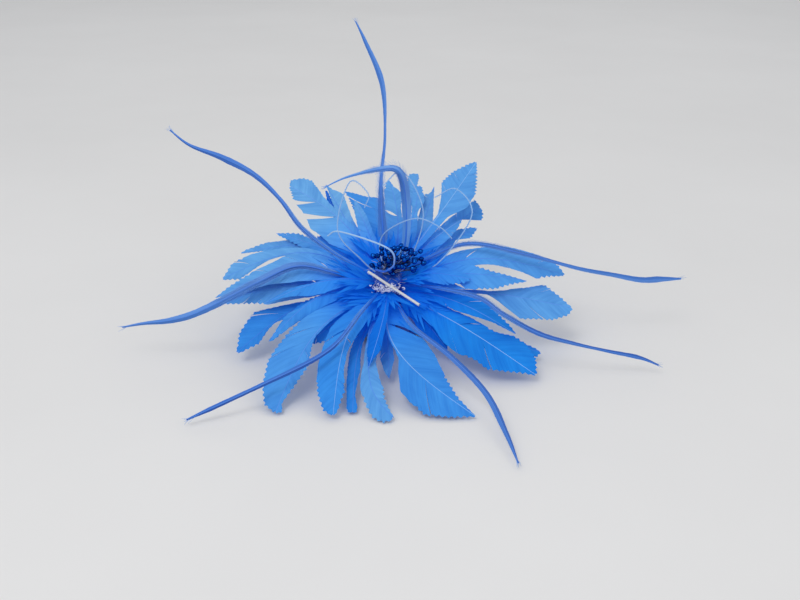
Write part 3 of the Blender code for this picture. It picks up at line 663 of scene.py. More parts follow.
def vane_gaps(leaf, vane, rng):
    """The gaps of one vane in order from the root: those of the table, and a few hairline ones."""
    gaps = [gap for gap in leaf.gaps if gap.vane == vane]
    for _ in range(rng.choice((1, 2, 3, 4))):
        root = rng.uniform(0.15, 0.9)
        if all(abs(root - gap.root) > 0.06 for gap in gaps):
            gaps.append(Gap(vane, root, rng.choice((0.12, 0.2, 0.35, 0.6)), True))
    return sorted(gaps, key=lambda gap: gap.root)


def parted_rows(gaps, roots):
    """The rows where the barbs have parted, with their gaps, and the vane's first and last row."""
    parted = []
    for gap in gaps:
        row = int(np.searchsorted(roots, gap.root))
        if 4 < row < len(roots) - 5 and (not parted or row - parted[-1][0] > 5):
            parted.append((row, gap))
    return [(0, None), *parted, (len(roots) - 1, None)]


def cut_depth(pinked, walked, opened, along, width, own, sign):
    """How far a vane's edge is cut back: in teeth where it is pinked, and slightly frayed before that."""
    phase = (walked + opened) / TOOTH_PITCH + own
    tooth = 1 - np.abs(2 * (phase - np.floor(phase)) - 1)
    ready = np.clip((along - pinked) / 0.02, 0.0, 1.0)
    teeth = np.where(ready > 0, np.minimum(TOOTH_DEPTH, 0.35 * width) * tooth, 0.0)
    frayed = 0.5 + wander(walked, 0.6, own * 31.7, sign)
    return teeth + (1 - ready) * np.minimum(FRAY_DEPTH, 0.15 * width) * frayed


def add_vane(mesh, leaf, line, vane, sign, rng, own):
    """One vane of a trimmed feather: barbs that sweep forward from the quill to a pinked edge, in
    bundles that have parted from one another."""
    edge = Edge(getattr(leaf, vane), line.length)
    widest = max(width for _, width in leaf.near + leaf.far)
    walked = np.arange(0.0, edge.total - 0.4, TOOTH_PITCH / 4)
    place, _ = edge.at(walked)
    roots = (place[:, 0] - BARB_SWEEP * place[:, 1]) / line.length
    roots = np.maximum.accumulate(np.clip(roots, BARE_SHARE * 0.6, 0.995))
    limits = parted_rows(vane_gaps(leaf, vane, rng), roots)
    for number, ((start, before), (stop, after)) in enumerate(zip(limits, limits[1:])):
        rows = slice(start, stop + 1)
        part = np.linspace(0.0, 1.0, stop + 1 - start)
        opened = np.zeros(len(part))
        bulge = np.zeros(len(part))
        for gap, share in ((before, 1 - part), (after, -part)):
            if gap is not None and gap.open:
                opened += gap.width / 2 * share
            elif gap is not None:
                bulge += gap.width / 2 * share
        end, outwards = edge.at(walked[rows] + opened)
        width = np.maximum(end[:, 1], 0.05)
        along = end[:, 0] / line.length
        depth = cut_depth(leaf.pinked, walked[rows], opened, along, width, own, sign)
        pulled = end - outwards * depth[:, None]

        base, heading, _, up = line.stand(roots[rows], AXIS)
        tips = []
        for spot in (end, pulled):
            foot, _, side, _ = line.stand(spot[:, 0] / line.length, AXIS)
            tips.append(foot + side * (sign * spot[:, 1:]))
        v = VANE_COLUMNS[None, :, None]
        reach = (tips[0] - base)[:, None]
        span = np.linalg.norm(reach, axis=-1, keepdims=True)
        ups = np.broadcast_to(up[:, None], (len(part), len(VANE_COLUMNS), 3))
        out = width[:, None, None] * v
        grid = (
            base[:, None]
            + reach * v
            + (tips[1] - tips[0])[:, None] * np.clip((v - 0.5) / 0.5, 0, 1) ** 2
            + heading[:, None] * ((bulge[:, None, None] - 0.05 * span) * np.sin(math.pi * v))
            - ups * (CUP * (out / widest) ** 2)
            + ups * ripple_at(walked[rows], own, sign) * np.minimum(1.0, out / 6.0)
            + ups * (0.15 * math.sin(number * 2.3 + own * 6) * v**2)
        )
        along = (roots[rows] * line.length)[:, None] + own * 40
        barb = layers(grid, along, (span * v)[..., 0] * sign, float(number))
        mesh.sheet(grid, ups, 0.26 - 0.12 * VANE_COLUMNS, barb, tones(grid, leaf.pale, own))


def add_down(mesh, line, rng, own):
    """Loose tufts of broad barbs at the feather's root, which close the bloom round the core."""
    for _ in range(TUFTS):
        share = rng.uniform(0.01, 0.18)
        sign = rng.choice((-1, 1))
        reach = rng.uniform(10.0, 20.0)
        width = rng.uniform(0.9, 1.9)
        point, heading, side, up = line.stand(share, AXIS)
        spread = rng.uniform(0.1, 1.0) * sign
        curl = rng.uniform(-2.0, 1.5)
        t = steps(7)
        middle = point + side * (spread * reach * t) + heading * (reach * t**1.2) + up * (curl * t**2 - 0.3)
        across = unit(side - heading * spread)
        strip = np.array([-1.0, 0.0, 1.0]) * width * np.sin(math.pi * (0.08 + 0.9 * t) ** 0.8)
        grid = middle[:, None] + across * strip[..., None]
        barb = layers(grid, strip + own * 40, t * reach, own * 9)
        mesh.sheet(grid, np.broadcast_to(up, grid.shape), 0.16, barb, tones(grid, 0.1, own))


def make_trimmed_feathers(vane_dye, quill_dye):
    """The bloom's feathers: two vanes, a tapering quill, and down at its root."""
    for number, leaf in enumerate(LEAVES, 1):
        rng = random.Random(100 + number)
        own = rng.random()
        line = leaf_line(leaf)
        mesh = Mesh()
        add_vane(mesh, leaf, line, "near", -1, rng, own)
        add_vane(mesh, leaf, line, "far", 1, rng, own)
        shares = np.concatenate([np.linspace(0, 0.2, 14), np.linspace(0.22, 0.99, 50)])
        points, _ = line.at(shares)
        radii = 0.14 + 0.76 * np.exp(-shares * 4.6)
        mesh.tube(points + AXIS * 0.1, radii, 8, 1, tones(points, leaf.quill, own), AXIS, 0.7)
        add_down(mesh, line, rng, own)
        mesh.build(f"feather_{number:02d}", (vane_dye, quill_dye), f"trimmed_feather_{number:02d}")


def slim_half(slim, bare, shares):
    """Half of a slim feather's width. Its vane grows wide where its bare quill ends."""
    return np.interp(shares, SLIM_SHARES, slim.widths) * np.clip((shares - bare) / 0.05, 0.15, 1)


def slim_fold(slim, own, shares):
    """How far a slim feather's sides are folded back, for each millimetre out from its quill."""
    return slim.fold * (1 + 0.4 * np.sin(shares * 9.0 + own * 6))


def add_slim_vane(mesh, line, slim, bare, own):
    """The two sides of a slim feather as one folded sheet, a little twisted and rough at its edges."""
    shares = np.linspace(bare, SLIM_END, 170)
    points, _, side, up = line.stand(shares, FRONT)
    twist = 0.5 * wander(shares, 4.0, own * 9.0, 0.0)[:, None]
    side, up = side * np.cos(twist) - up * np.sin(twist), up * np.cos(twist) + side * np.sin(twist)
    half = slim_half(slim, bare, shares) * (1 + 0.07 * wander(shares, 60.0, own * 5.0, 1.0))
    fold = half * slim_fold(slim, own, shares)
    grid = (
        points[:, None]
        + side[:, None] * (half[:, None] * SLIM_COLUMNS)[..., None]
        - up[:, None] * (fold[:, None] * np.abs(SLIM_COLUMNS))[..., None]
    )
    along = (shares * line.length)[:, None] * 0.25 - np.abs(SLIM_COLUMNS) * 4.0
    barb = layers(grid, along, SLIM_COLUMNS, 0.0)
    mesh.sheet(grid, np.broadcast_to(up[:, None], grid.shape), 0.3, barb, tones(grid, slim.lavender, own))


def add_fringe(mesh, line, slim, bare, rng, own):
    """Soft barbs that stand out past the two edges of a slim feather."""
    fluffy = slim.fluffy_to - slim.fluffy_from
    count = int(fluffy * line.length / 0.5)
    for k in range(count * 2):
        share = slim.fluffy_from + fluffy * (k // 2 + rng.random()) / count
        sign = 1 if k % 2 else -1
        point, ahead, side, up = line.stand(share, FRONT)
        half = slim_half(slim, bare, share)
        grown = min(1.0, (share - slim.fluffy_from) * 12, (slim.fluffy_to - share) * 12) * slim.fluff
        far = half + max(0.1, grown) * rng.uniform(0.4, 1.15)
        t = steps(5)
        out = half * 0.5 + (far - half * 0.5) * t
        along = (far + 2.0) * 1.3 * t**0.9
        hair = point + side * (sign * out) + ahead * along - up * (slim_fold(slim, own, share) * half * t)
        hair = hair + up * (rng.uniform(-0.4, 0.4) * t**2)
        mesh.tube(hair, (0.07, 0.03), 3, tone=tones(hair, 1.0, own))


def add_tip(mesh, line, rng, own):
    """The last few barbs of a slim feather, which reach past its end."""
    for _ in range(7):
        share = rng.uniform(0.93, 0.97)
        point, ahead, side, _ = line.stand(share, FRONT)
        reach = (1.005 - share) * line.length * rng.uniform(0.7, 1.0)
        t = steps(7)
        hair = point + ahead * (reach * t) + side * (rng.uniform(-2.2, 2.2) * t**2)
        mesh.tube(hair, (0.16, 0.05), 3, tone=tones(hair, 0.9, own))


def add_slim_quill(mesh, line, bare, crossing, own):
    """A slim feather's quill, which is thick and ivory as far as it is bare if it crosses the core."""
    shares = np.linspace(0.0, 0.97, 90)
    spine, _ = line.at(shares)
    radii = 0.7 * np.exp(-shares * 3.0) + 0.14
    if crossing:
        ended = shares < bare + 0.01
        mesh.tube(spine[ended], 0.85, 10, 2, tones(spine[ended], 1.0, own))
        radii = np.where(ended, 0.75, radii)
    mesh.tube(spine, radii, 6, 1, tones(spine, 0.4, own))


def make_slim_feathers(vane_dye, quill_dye, ivory):
    """Long narrow feathers: a quill with a short vane folded back along each side of it."""
    for number, slim in enumerate(SLIM_FEATHERS, 1):
        rng = random.Random(300 + number)
        own = rng.random()
        line = strand_line(slim.way)
        crossing = number == CROSSING_SLIM
        bare = IVORY_SHARE if crossing else SLIM_BARE_SHARE
        mesh = Mesh()
        add_slim_vane(mesh, line, slim, bare, own)
        add_fringe(mesh, line, slim, bare, rng, own)
        add_tip(mesh, line, rng, own)
        add_slim_quill(mesh, line, bare, crossing, own)
        dyes = (vane_dye, quill_dye, ivory)
        mesh.build(f"slim_plume_{number}", dyes, f"slim_feather_{number}")


def add_stubs(mesh, line, rng, own):
    """The stubs of a quill's barbs, to its left and right in turn."""
    count = int(line.length / 0.9)
    for k in range(count):
        point, ahead, side, _ = line.stand((k + rng.uniform(0.2, 0.8)) / count, FRONT)
        out = side * (1 if k % 2 else -1)
        reach = rng.uniform(0.35, 0.75)
        t = steps(3)
        stub = point + out * (0.25 + reach * t) + ahead * (reach * 0.9 * t)
        mesh.tube(stub, (0.14, 0.05), 3, tone=tones(stub, 0.6, own))


def make_curled_quills(pale):
    """Bare quills, curled over a blade. The thick one has no stubs, and is blue where it leaves the core."""
    for number, way in enumerate(CURLED_QUILLS, 1):
        rng = random.Random(500 + number)
        own = rng.random()
        line = strand_line(way)
        mesh = Mesh()
        shares = np.linspace(0, 1, 120)
        points, _ = line.at(shares)
        thick = number == len(CURLED_QUILLS)
        blue = np.clip(2.2 - shares * 4, 0, 1) if thick else 0.0
        tone = np.stack(np.broadcast_arrays(1 - blue, 0.9 if thick else 0.6, own), -1)
        mesh.tube(points, (0.62 if thick else 0.42) * (1 - 0.35 * shares), 8, tone=tone, flat=0.75)
        if not thick:
            add_stubs(mesh, line, rng, own)
        mesh.build(f"curl_{number}", (pale,), f"curled_quill_{number}")


def bunch_place(number, spread, lift, wide, deep, behind, first_turn=0):
    """A place of the stamens' bunch: spread is its share of the bunch's half sizes wide and deep."""
    turn = math.radians(number * GOLDEN_ANGLE + first_turn)
    across = BUNCH_RIGHT + wide * spread * math.sin(turn)
    back = behind + deep * spread * math.cos(turn)
    return CORE + RIGHT * across + BACK * back + AXIS * lift


def bead_places():
    """The stamens' heads: a wide shallow bunch, set back over the core, and more of them deeper in it."""
    places = []
    for i in range(BEADS):
        spread = math.sqrt((i + 0.5) / BEADS)
        lift = BUNCH_TOP - BUNCH_DROP * spread**2 + BUNCH_STEPS[i % 3]
        places.append(bunch_place(i, spread, lift, 17.0, 10.0, 3.0))
    rng = random.Random(7)
    for i in range(EXTRA_BEADS):
        places.append(bunch_place(i, rng.uniform(0.3, 0.95), rng.uniform(16.5, 22.5), 14.0, 8.0, 1.0, 60))
    return places


def add_bead(mesh, place, away, radius, tone):
    """A pearl head, slightly drawn out along its thread."""
    across, other = beside(away, RIGHT + BACK * 0.3)
    turns = np.arange(16) * 2 * math.pi / 16
    around = across * np.cos(turns)[:, None] + other * np.sin(turns)[:, None]
    rings = []
    for angle in np.linspace(0.12, math.pi - 0.12, 11):
        pull = 1 + 0.12 * math.cos(angle)
        middle = place - away * (radius * 1.14 * math.cos(angle))
        rings.append(middle + around * (radius * math.sin(angle) * pull))
    mesh.turned(rings, tone)


def make_stamens(pearl, thread, tinsel):
    """Pearl heads on threads that come out of the glue pad, with cut tinsel between them."""
    rng = random.Random(11)
    base = flower_point(0, 0, PAD_TOP + CLEARANCE)
    mesh = Mesh()
    for place in bead_places():
        place = place + np.array([rng.uniform(-0.4, 0.4) for _ in range(3)])
        away = unit(place - base)
        radius = BEAD_RADIUS * rng.uniform(0.9, 1.06)
        add_bead(mesh, place, away, radius, (0.5, rng.random(), rng.random()))
        foot = base + RIGHT * rng.uniform(-3.5, 3.5) + BACK * rng.uniform(-3.0, 3.0) - AXIS * 0.3
        t = steps(9)
        sag = np.array([rng.uniform(-1, 1) for _ in range(3)])
        points = foot + (place - away * radius - foot) * t + sag * np.sin(math.pi * t) * 0.9
        mesh.tube(points, 0.22, 5, 1, (0.5, rng.random(), rng.random()))
    for _ in range(18):
        foot = base + RIGHT * rng.uniform(-4, 5) + BACK * rng.uniform(-4, 3)
        end = CORE + RIGHT * rng.uniform(-7, 18) + BACK * rng.uniform(-6, 7) + AXIS * rng.uniform(15, 25)
        reach = min(np.linalg.norm(end - foot), 11.0)
        mesh.tube(foot + unit(end - foot) * reach * steps(5, 0.15), 0.17, 4, 2)
    mesh.build("stamen_bunch", (pearl, thread, tinsel), "stamens", 80)


def full_turn(count):
    """Even turns round a circle."""
    return [2 * math.pi * k / count for k in range(count)]


def out_at(turn):
    """The way out from the core's axis."""
    return BACK * math.cos(turn) + RIGHT * math.sin(turn)


def stem_point(lift, radius, turn, level=None):
    """A point round the core's axis, moved along it to the height level if one is given."""
    point = CORE + out_at(turn) * radius + AXIS * lift
    return point if level is None else point + AXIS * ((level - point[2]) / AXIS[2])


def make_core(cord):
    """The stem: feather butts wound round and round with thread."""
    lifts, sizes = zip(*STEM_PROFILE)
    turns = full_turn(40)
    rings = [
        [stem_point(STEM_CUT, 7.7, turn, STEM_FOOT) for turn in turns],
        [stem_point(STEM_CUT, 7.2, turn, STEM_FOOT) + AXIS * 0.7 for turn in turns],
    ]
    for lift in np.linspace(-26.0, CORE_TOP, 60):
        ring = []
        for turn in turns:
            radius = float(np.interp(lift, lifts, sizes)) + 0.18 * math.cos(turn * STEM_BUTTS + lift * 0.15)
            point = stem_point(lift, radius, turn)
            lowest = stem_point(STEM_CUT, radius, turn, STEM_FOOT + 0.9)
            ring.append(point if point[2] > lowest[2] else lowest)
        rings.append(ring)
    mesh = Mesh()
    mesh.turned(rings)
    last = WRAPS * WRAP_STEPS
    points = []
    for i in range(last + 1):
        lift = -23.5 + 34.0 * i / last
        turn = 2 * math.pi * WRAPS * i / last
        radius = float(np.interp(lift, lifts, sizes)) + 0.22
        points.append(stem_point(lift + 0.35 * math.sin(turn * 0.37), radius, turn))
    mesh.tube(points, 0.3, 6, up=AXIS)
    mesh.build("wound_core", (cord,), "bound_core")


def add_pad(mesh):
    """A lumpy dome of set glue."""
    centre = flower_point(185, PAD_FRONT, 0)
    last = 11
    rings = []
    for i in range(last + 1):
        bend = i / last * math.pi / 2
        radius = PAD_RADIUS * math.cos(bend) ** 0.55 + 0.15
        lift = CORE_TOP + CLEARANCE + 2.3 * math.sin(bend)
        ring = []
        for turn in full_turn(48):
            place = Vector((math.sin(turn) * radius * 0.4, math.cos(turn) * radius * 0.4, 3.0))
            lump = noise.noise(place) * 0.5 if i > 0 else 0.0
            ring.append(centre + out_at(turn) * (radius + lump) + AXIS * (lift + lump * 0.8))
        rings.append(ring)
    mesh.turned(rings)


def make_glue_pad(glue, fluff, tinsel):
    """Set glue on the core with white fluff and cut tinsel in it."""
    rng = random.Random(21)
    mesh = Mesh()
    add_pad(mesh)
    for _ in range(70):
        clock = rng.gauss(182, 20)
        point = flower_point(clock, rng.uniform(10.5, 15.0), rng.uniform(10.5, 13.5))
        heading = unit(np.array([rng.gauss(0, 1) for _ in range(3)]))
        side, _ = beside(heading, AXIS)
        size = rng.uniform(0.6, 1.8)
        t = steps(9)
        loop = point + heading * (size * np.sin(t * 3.4)) + side * (size * (1 - np.cos(t * 3.4)) * 0.6)
        mesh.tube(loop, (0.4, 0.12), 5, 1)
    for _ in range(22):
        clock = rng.uniform(0, 360)
        point = flower_point(clock, rng.uniform(4.0, 12.0), rng.uniform(13.0, 15.5))
        heading = unit(flower_point(clock + rng.uniform(-50, 50), 20, rng.uniform(12, 24)) - point)
        mesh.tube(point + heading * (rng.uniform(2.5, 6.0) * steps(3)), 0.12, 4, 2)
    mesh.build("set_glue", (glue, fluff, tinsel), "glue_pad")


def add_felt(mesh):
    """The disc itself, its cut edge slightly rounded."""
    low_side = ((8.0, 0.0), (20.6, 0.0), (21.5, 0.25), (21.95, 0.8))
    profile = [(radius, DISC_LOW + rise) for radius, rise in low_side]
    profile += [(radius, DISC_HIGH - rise) for radius, rise in reversed(low_side)]
    rings = []
    for radius, z in profile:
        ring = []
        for turn in full_turn(72):
            soft = 0.22 * noise.noise(Vector((math.cos(turn) * 9, math.sin(turn) * 9, z)))
            ring.append(((radius + soft) * math.cos(turn), (radius + soft) * math.sin(turn), z))
        rings.append(ring)
    mesh.turned(rings)


def make_disc(felt, cord):
    """The felt base, its edge fuzzy with fibres, sewn round with small stitches."""
    mesh = Mesh()
    rng = random.Random(31)
    add_felt(mesh)
    for _ in range(420):
        turn = rng.uniform(0, 2 * math.pi)
        z = rng.uniform(DISC_LOW + 0.2, DISC_HIGH - 0.1)
        out = np.array([math.cos(turn), math.sin(turn), 0.0])
        along = np.array([-math.sin(turn), math.cos(turn), rng.uniform(-0.5, 0.5)])
        t = steps(4)
        start = out * 21.5 + UP * z
        fibre = start + out * (rng.uniform(0.5, 1.1) * t) + along * (rng.uniform(-1.2, 1.2) * t**2)
        mesh.tube(fibre, 0.05, 3)
    for k in range(STITCHES):
        turn = 2 * math.pi * (k + rng.uniform(-0.1, 0.1)) / STITCHES
        out = np.array([math.cos(turn), math.sin(turn), 0.0])
        t = np.linspace(0, math.pi, 7)[:, None]
        stitch = out * (19.0 - 1.1 * np.cos(t)) + UP * (DISC_HIGH - 0.12) + UP * 0.32 * np.sin(t)
        mesh.tube(stitch, 0.2, 5, 1)
    mesh.build("felt_base", (felt, cord), "felt_disc")


class Graph:
    """The nodes of a material or of a node group. add makes one and sets or links its inputs."""

    def __init__(self, tree):
        self.tree = tree

    def add(self, kind, inputs=None, **settings):
        node = self.tree.nodes.new(kind)
        for key, value in settings.items():
            setattr(node, key, value)
        for key, value in (inputs or {}).items():
            self.give(node.inputs[key], value)
        return node

    def give(self, socket, value):
        """Links a socket to another one's value, or sets it."""
        if isinstance(value, bpy.types.NodeSocket):
            self.tree.links.new(value, socket)
        elif socket.type == "RGBA":
            socket.default_value = (*value, 1)
        else:
            socket.default_value = value

    def group(self, name, **inputs):
        return self.add("ShaderNodeGroup", inputs, node_tree=bpy.data.node_groups[name]).outputs

    def mix(self, factor, a, b, blend="MIX"):
        inputs = {0: factor, 6: a, 7: b}
        return self.add("ShaderNodeMix", inputs, data_type="RGBA", blend_type=blend).outputs[2]

    def times(self, a, b):
        return self.add("ShaderNodeMath", {0: a, 1: b}, operation="MULTIPLY").outputs[0]

    def ramp(self, value, low, high, to_low=0.0, to_high=1.0):
        inputs = {"Value": value, "From Min": low, "From Max": high, "To Min": to_low, "To Max": to_high}
        return self.add("ShaderNodeMapRange", inputs).outputs[0]

    def noise(self, vector, scale, detail=2.0, roughness=0.5):
        inputs = {"Vector": vector, "Scale": scale, "Detail": detail, "Roughness": roughness}
        return self.add("ShaderNodeTexNoise", inputs).outputs["Fac"]

    def bump(self, height, strength, depth):
        inputs = {"Height": height, "Strength": strength, "Distance": depth}
        return self.add("ShaderNodeBump", inputs).outputs[0]

    def scaled(self, vector, factors):
        return self.add("ShaderNodeVectorMath", {0: vector, 1: factors}, operation="MULTIPLY").outputs[0]

    def split(self, vector):
        return list(self.add("ShaderNodeSeparateXYZ", {0: vector}).outputs)

    def barb(self):
        return self.add("ShaderNodeAttribute", attribute_name="barb").outputs["Vector"]

    def tone(self):
        """How far out on the bloom a point is and how pale it is, both from 0 to 1."""
        return self.split(self.add("ShaderNodeAttribute", attribute_name="tone").outputs["Vector"])[:2]

    def place(self):
        return self.add("ShaderNodeTexCoord").outputs["Object"]


def make_group(name, inputs, outputs, draw):
    """A node group: draw gets its graph and its inputs, and gives a value for each of its outputs."""
    tree = bpy.data.node_groups.new(name, "ShaderNodeTree")
    for sockets, side in ((inputs, "INPUT"), (outputs, "OUTPUT")):
        for socket, kind in sockets.items():
            tree.interface.new_socket(name=socket, in_out=side, socket_type=f"NodeSocket{kind}")
    graph = Graph(tree)
    given = graph.add("NodeGroupInput").outputs
    result = graph.add("NodeGroupOutput").inputs
    for socket, value in zip(outputs, draw(graph, given)):
        tree.links.new(value, result[socket])


def draw_barb_lines(g, given):
    """Single barbs lighter by a painted sheen, locks of them of which some are darker by painted shade, and
    places where the dye took better, drawn on a vane's colour. Barb counts millimetres along the quill
    and along the barb."""
    colour = given["Colour"]
    lines = g.noise(g.scaled(given["Barb"], (2.4, 0.05, 1.0)), 1.0, 3.0, 0.65)
    locks = g.noise(g.scaled(given["Barb"], (0.34, 0.035, 1.7)), 1.0, 2.0)
    blotches = g.noise(g.scaled(given["Barb"], (0.06, 0.06, 0.6)), 1.0, 2.0)
    weak = g.mix(1.0, colour, (0.8, 0.86, 0.93), "MULTIPLY")
    colour = g.mix(g.ramp(blotches, 0.35, 0.65), weak, colour)
    # Painted shade on some locks of barbs.
    dark = g.mix(1.0, colour, (0.8, 0.85, 0.92), "MULTIPLY")
    colour = g.mix(g.ramp(locks, 0.34, 0.62), dark, colour)
    # Painted sheen: single barbs lighter towards the Shine colour.
    light = g.mix(given["Contrast"], colour, given["Shine"])
    return g.mix(g.ramp(lines, 0.42, 0.7), colour, light), lines, g.bump(lines, 0.5, 0.0002)


def draw_quill_skin(g, given):
    """A quill's skin, dyed or bare by its paleness, with faint lengthwise grain."""
    grain = g.noise(g.scaled(given["Barb"], (0.8, 2.0, 1.0)), 1.0, 3.0)
    colour = g.mix(given["Paleness"], given["Dyed"], given["Bare"])
    dark = g.mix(1.0, colour, (0.75, 0.8, 0.88), "MULTIPLY")
    return g.mix(g.ramp(grain, 0.3, 0.7), dark, colour), g.bump(grain, 0.25, 0.0002)


def draw_fine_grain(g, given):
    """A fine grain between two colours."""
    grain = g.noise(given["Place"], given["Scale"], 4.0, 0.6)
    colour = g.mix(g.ramp(grain, 0.32, 0.68), given["Low"], given["High"])
    return colour, grain, g.bump(grain, given["Strength"], 0.0003)


def make_groups():
    make_group(
        "barb_lines",
        {"Barb": "Vector", "Colour": "Color", "Shine": "Color", "Contrast": "Float"},
        {"Colour": "Color", "Lines": "Float", "Normal": "Vector"},
        draw_barb_lines,
    )
    make_group(
        "quill_skin",
        {"Barb": "Vector", "Paleness": "Float", "Dyed": "Color", "Bare": "Color"},
        {"Colour": "Color", "Normal": "Vector"},
        draw_quill_skin,
    )
    make_group(
        "fine_grain",
        {"Place": "Vector", "Low": "Color", "High": "Color", "Scale": "Float", "Strength": "Float"},
        {"Colour": "Color", "Grain": "Float", "Normal": "Vector"},
        draw_fine_grain,
    )


def make_material(name, draw, **constants):
    """A material: draw gives its colour, roughness, normal and perhaps a painted glow, and the constants are
    set on its shader."""
    material = bpy.data.materials.new(name)
    material.use_nodes = True
    shader = material.node_tree.nodes["Principled BSDF"]
    graph = Graph(material.node_tree)
    for socket, value in zip(("Base Color", "Roughness", "Normal", "Emission Color"), draw(graph)):
        graph.give(shader.inputs[socket], value)
    for key, value in constants.items():
        shader.inputs[key.replace("_", " ")].default_value = value
    return material


def goose_vane(g):
    """Deep blue near the core and azure further out. Leaves of low paleness stay deep, which is partly their
    own dye and partly painted shade on the leaves that lie in shade. A painted glow near the core stands
    in for the light that passes through the thin vanes from one to the next, and lifts the shade there."""
    out, pale = g.tone()
    # Less azure where the paleness is low: partly the leaf's own dye, partly painted shade on leaves in
    # shade.
    azure = g.times(g.ramp(out, 0.1, 0.7), g.ramp(pale, 0.0, 0.05, 0.35, 1.0))
    colour = g.mix(azure, (0.001, 0.115, 0.68), (0.004, 0.25, 0.85))
    colour = g.mix(g.times(pale, g.ramp(out, 0.2, 0.8)), colour, (0.2, 0.5, 0.86))
    # The colour of the painted sheen on single barbs.
    painted_sheen = g.mix(pale, (0.06, 0.42, 0.92), (0.33, 0.65, 0.95))
    drawn = g.group("barb_lines", Barb=g.barb(), Colour=colour, Shine=painted_sheen, Contrast=0.15)
    # Painted glow near the core, fading out further out.
    painted_glow = g.mix(g.ramp(out, 0.25, 0.85), (0.0, 0.035, 0.16), (0.0, 0.0, 0.0))
    return drawn["Colour"], g.ramp(drawn["Lines"], 0.3, 0.7, 0.55, 0.75), drawn["Normal"], painted_glow


def slim_vane(g):
    """Violet blue with some lavender, darker on one side of the quill, where shade is painted, and bluer
    near the core.
    """
    barb = g.barb()
    out, lavender = g.tone()
    across = g.split(barb)[1]
    # light is the colour of the lit side, dark of the side in painted shade.
    light = g.mix(lavender, (0.03, 0.15, 0.62), (0.2, 0.42, 0.85))
    dark = g.mix(lavender, (0.008, 0.07, 0.42), (0.11, 0.31, 0.75))
    colour = g.mix(g.ramp(across, -0.2, 0.2), dark, light)
    bluer = g.mix(lavender, (0.012, 0.19, 0.8), (0.13, 0.38, 0.85))
    colour = g.mix(g.ramp(out, 0.2, 0.75, 0.75, 0.0), colour, bluer)
    # Shine is the colour of the painted sheen on single barbs.
    drawn = g.group("barb_lines", Barb=barb, Colour=colour, Shine=(0.2, 0.45, 0.85), Contrast=0.2)
    return drawn["Colour"], 0.6, drawn["Normal"]


def make_quill(name, dyed, bare, core_share=0.0, **constants):
    """The material of a quill, which shows only core_share of its paleness near the core."""

    def draw(g):
        out, pale = g.tone()
        paleness = g.times(pale, g.ramp(out, 0.3, 0.75, core_share, 1.0))
        drawn = g.group("quill_skin", Barb=g.barb(), Paleness=paleness, Dyed=dyed, Bare=bare)
        return drawn["Colour"], 0.38, drawn["Normal"]

    return make_material(name, draw, **constants)


def curled_skin(g):
    """Lavender where the quill is pale and blue where it isn't, and lighter further out."""
    out, pale = g.tone()
    dyed = g.mix(out, (0.02, 0.15, 0.75), (0.16, 0.4, 0.85))
    bare = g.mix(out, (0.02, 0.15, 0.75), (0.42, 0.64, 0.9))
    drawn = g.group("quill_skin", Barb=g.barb(), Paleness=pale, Dyed=dyed, Bare=bare)
    return drawn["Colour"], 0.36, drawn["Normal"]


def make_grained(name, low, high, roughness, scale=400.0, strength=0.3, **constants):
    """A material with a fine grain between two colours."""

    def draw(g):
        drawn = g.group("fine_grain", Place=g.place(), Low=low, High=high, Scale=scale, Strength=strength)
        return drawn["Colour"], roughness, drawn["Normal"]

    return make_material(name, draw, **constants)


def pearl_skin(g):
    """Near black navy lacquer, a little different from bead to bead."""
    _, pale = g.tone()
    low = g.mix(pale, (0.0, 0.015, 0.14), (0.002, 0.06, 0.36))
    high = g.mix(pale, (0.001, 0.035, 0.25), (0.01, 0.14, 0.6))
    drawn = g.group("fine_grain", Place=g.place(), Low=low, High=high, Scale=900.0, Strength=0.05)
    return drawn["Colour"], g.ramp(drawn["Grain"], 0.2, 0.8, 0.2, 0.28), drawn["Normal"]


def brushed_steel(g):
    """Steel with fine scratches along the clip."""
    place = g.scaled(g.place(), (60.0, 2500.0, 2500.0))
    shades = {"Low": (0.52, 0.52, 0.54), "High": (0.68, 0.68, 0.7)}
    drawn = g.group("fine_grain", Place=place, Scale=1.0, Strength=0.15, **shades)
    return drawn["Colour"], g.ramp(drawn["Grain"], 0.3, 0.7, 0.22, 0.36), drawn["Normal"]


def make_floor():
    """A pale floor, just under the piece."""
    mesh = bpy.data.meshes.new("floor")
    half = 6.0
    low = -0.0002
    corners = [(-half, -half, low), (half, -half, low), (half, half, low), (-half, half, low)]
    mesh.from_pydata(corners, [], [(0, 1, 2, 3)])
    mesh.materials.append(make_grained("floor_pale", (0.77, 0.76, 0.75), (0.8, 0.79, 0.78), 0.85, 3.0, 0.0))
    floor = make_object("floor", mesh)


def make_lights():
    """Soft daylight from all round, and lamps of which the key and the glint stand at the front left."""
    world = bpy.data.worlds.new("studio")
    bpy.context.scene.world = world
    world.use_nodes = True
    background = world.node_tree.nodes["Background"].inputs
    background["Color"].default_value = (0.95, 0.97, 1.0, 1)
    background["Strength"].default_value = 0.62
    for name, place, size, power in (
        ("key", (-0.7, -0.9, 1.5), 1.1, 4.0),
        ("fill", (1.2, -0.8, 1.0), 1.4, 3.0),
        ("back", (0.1, 1.3, 1.3), 1.2, 2.5),
        ("glint", (-0.35, -0.9, 1.2), 0.5, 4.2),
    ):
        light = bpy.data.lights.new(name, "AREA")
        light.size = size
        light.energy = power
        lamp = make_object(name, light)
        lamp.location = place
        lamp.rotation_euler = (LAMP_TARGET - Vector(place)).to_track_quat("-Z", "Y").to_euler()


def make_camera():
    """The photo's camera."""
    data = bpy.data.cameras.new("camera")
    data.lens = 45.0
    data.sensor_width = 36.0
    camera = make_object("camera", data)
    camera.location = (0.0072, -0.5658, 0.2729)
    camera.rotation_euler = (math.radians(90.0) - VIEW_PITCH, 0.0, 0.0)
    bpy.context.scene.camera = camera


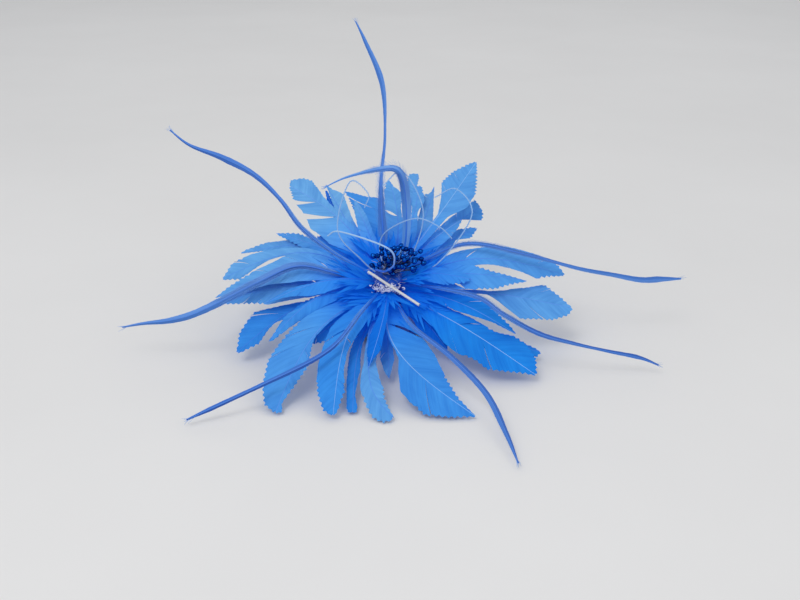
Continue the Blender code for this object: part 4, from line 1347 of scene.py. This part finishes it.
def make_pieces():
    """The pieces, each with its materials."""
    # The vane's emission is the painted glow near the core.
    vane = make_material("goose_vane", goose_vane, Specular_IOR_Level=0.06, Emission_Strength=1.0)
    quill = make_quill("dyed_quill", (0.01, 0.17, 0.85), (0.36, 0.64, 1.0), Specular_IOR_Level=0.1)
    make_trimmed_feathers(vane, quill)

    slim = make_material("slim_vane", slim_vane, Specular_IOR_Level=0.2)
    slim_quill = make_quill("slim_quill", (0.02, 0.19, 0.8), (0.24, 0.42, 0.82), Specular_IOR_Level=0.1)
    ivory = make_quill("ivory_quill", (0.5, 0.54, 0.68), (0.82, 0.8, 0.76), 1.0)
    make_slim_feathers(slim, slim_quill, ivory)
    make_curled_quills(make_material("curled_quill", curled_skin))

    pearl = make_material("pearl_bead", pearl_skin, Metallic=1.0, Specular_Tint=(0.02, 0.12, 0.6, 1.0))
    thread = make_grained("stamen_thread", (0.003, 0.015, 0.09), (0.015, 0.05, 0.2), 0.5)
    tinsel = make_grained("tinsel", (0.45, 0.5, 0.7), (0.8, 0.84, 0.95), 0.2, Metallic=0.6)
    make_stamens(pearl, thread, tinsel)

    cord = make_grained("binding_thread", (0.01, 0.06, 0.4), (0.03, 0.13, 0.6), 0.7, 900.0)
    make_core(cord)
    glue = make_grained(
        "clear_glue", (0.002, 0.05, 0.4), (0.02, 0.11, 0.6), 0.4, 250.0, Specular_IOR_Level=0.2
    )
    fluff = make_grained("white_fluff", (0.5, 0.54, 0.78), (0.8, 0.82, 0.94), 0.8)
    make_glue_pad(glue, fluff, tinsel)
    felt = make_grained(
        "base_felt", (0.012, 0.07, 0.4), (0.035, 0.15, 0.58), 0.95, 1500.0, 0.6, Sheen_Weight=0.3
    )
    make_disc(felt, cord)


def main():
    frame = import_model()
    bpy.context.scene.view_settings.view_transform = "Standard"
    make_groups()
    make_floor()
    make_lights()
    make_camera()
    make_pieces()
    clip = frame["nodes"]["hair_clip"]
    clip.data.materials.clear()
    clip.data.materials.append(make_material("clip_steel_brushed", brushed_steel, Metallic=1.0))


main()
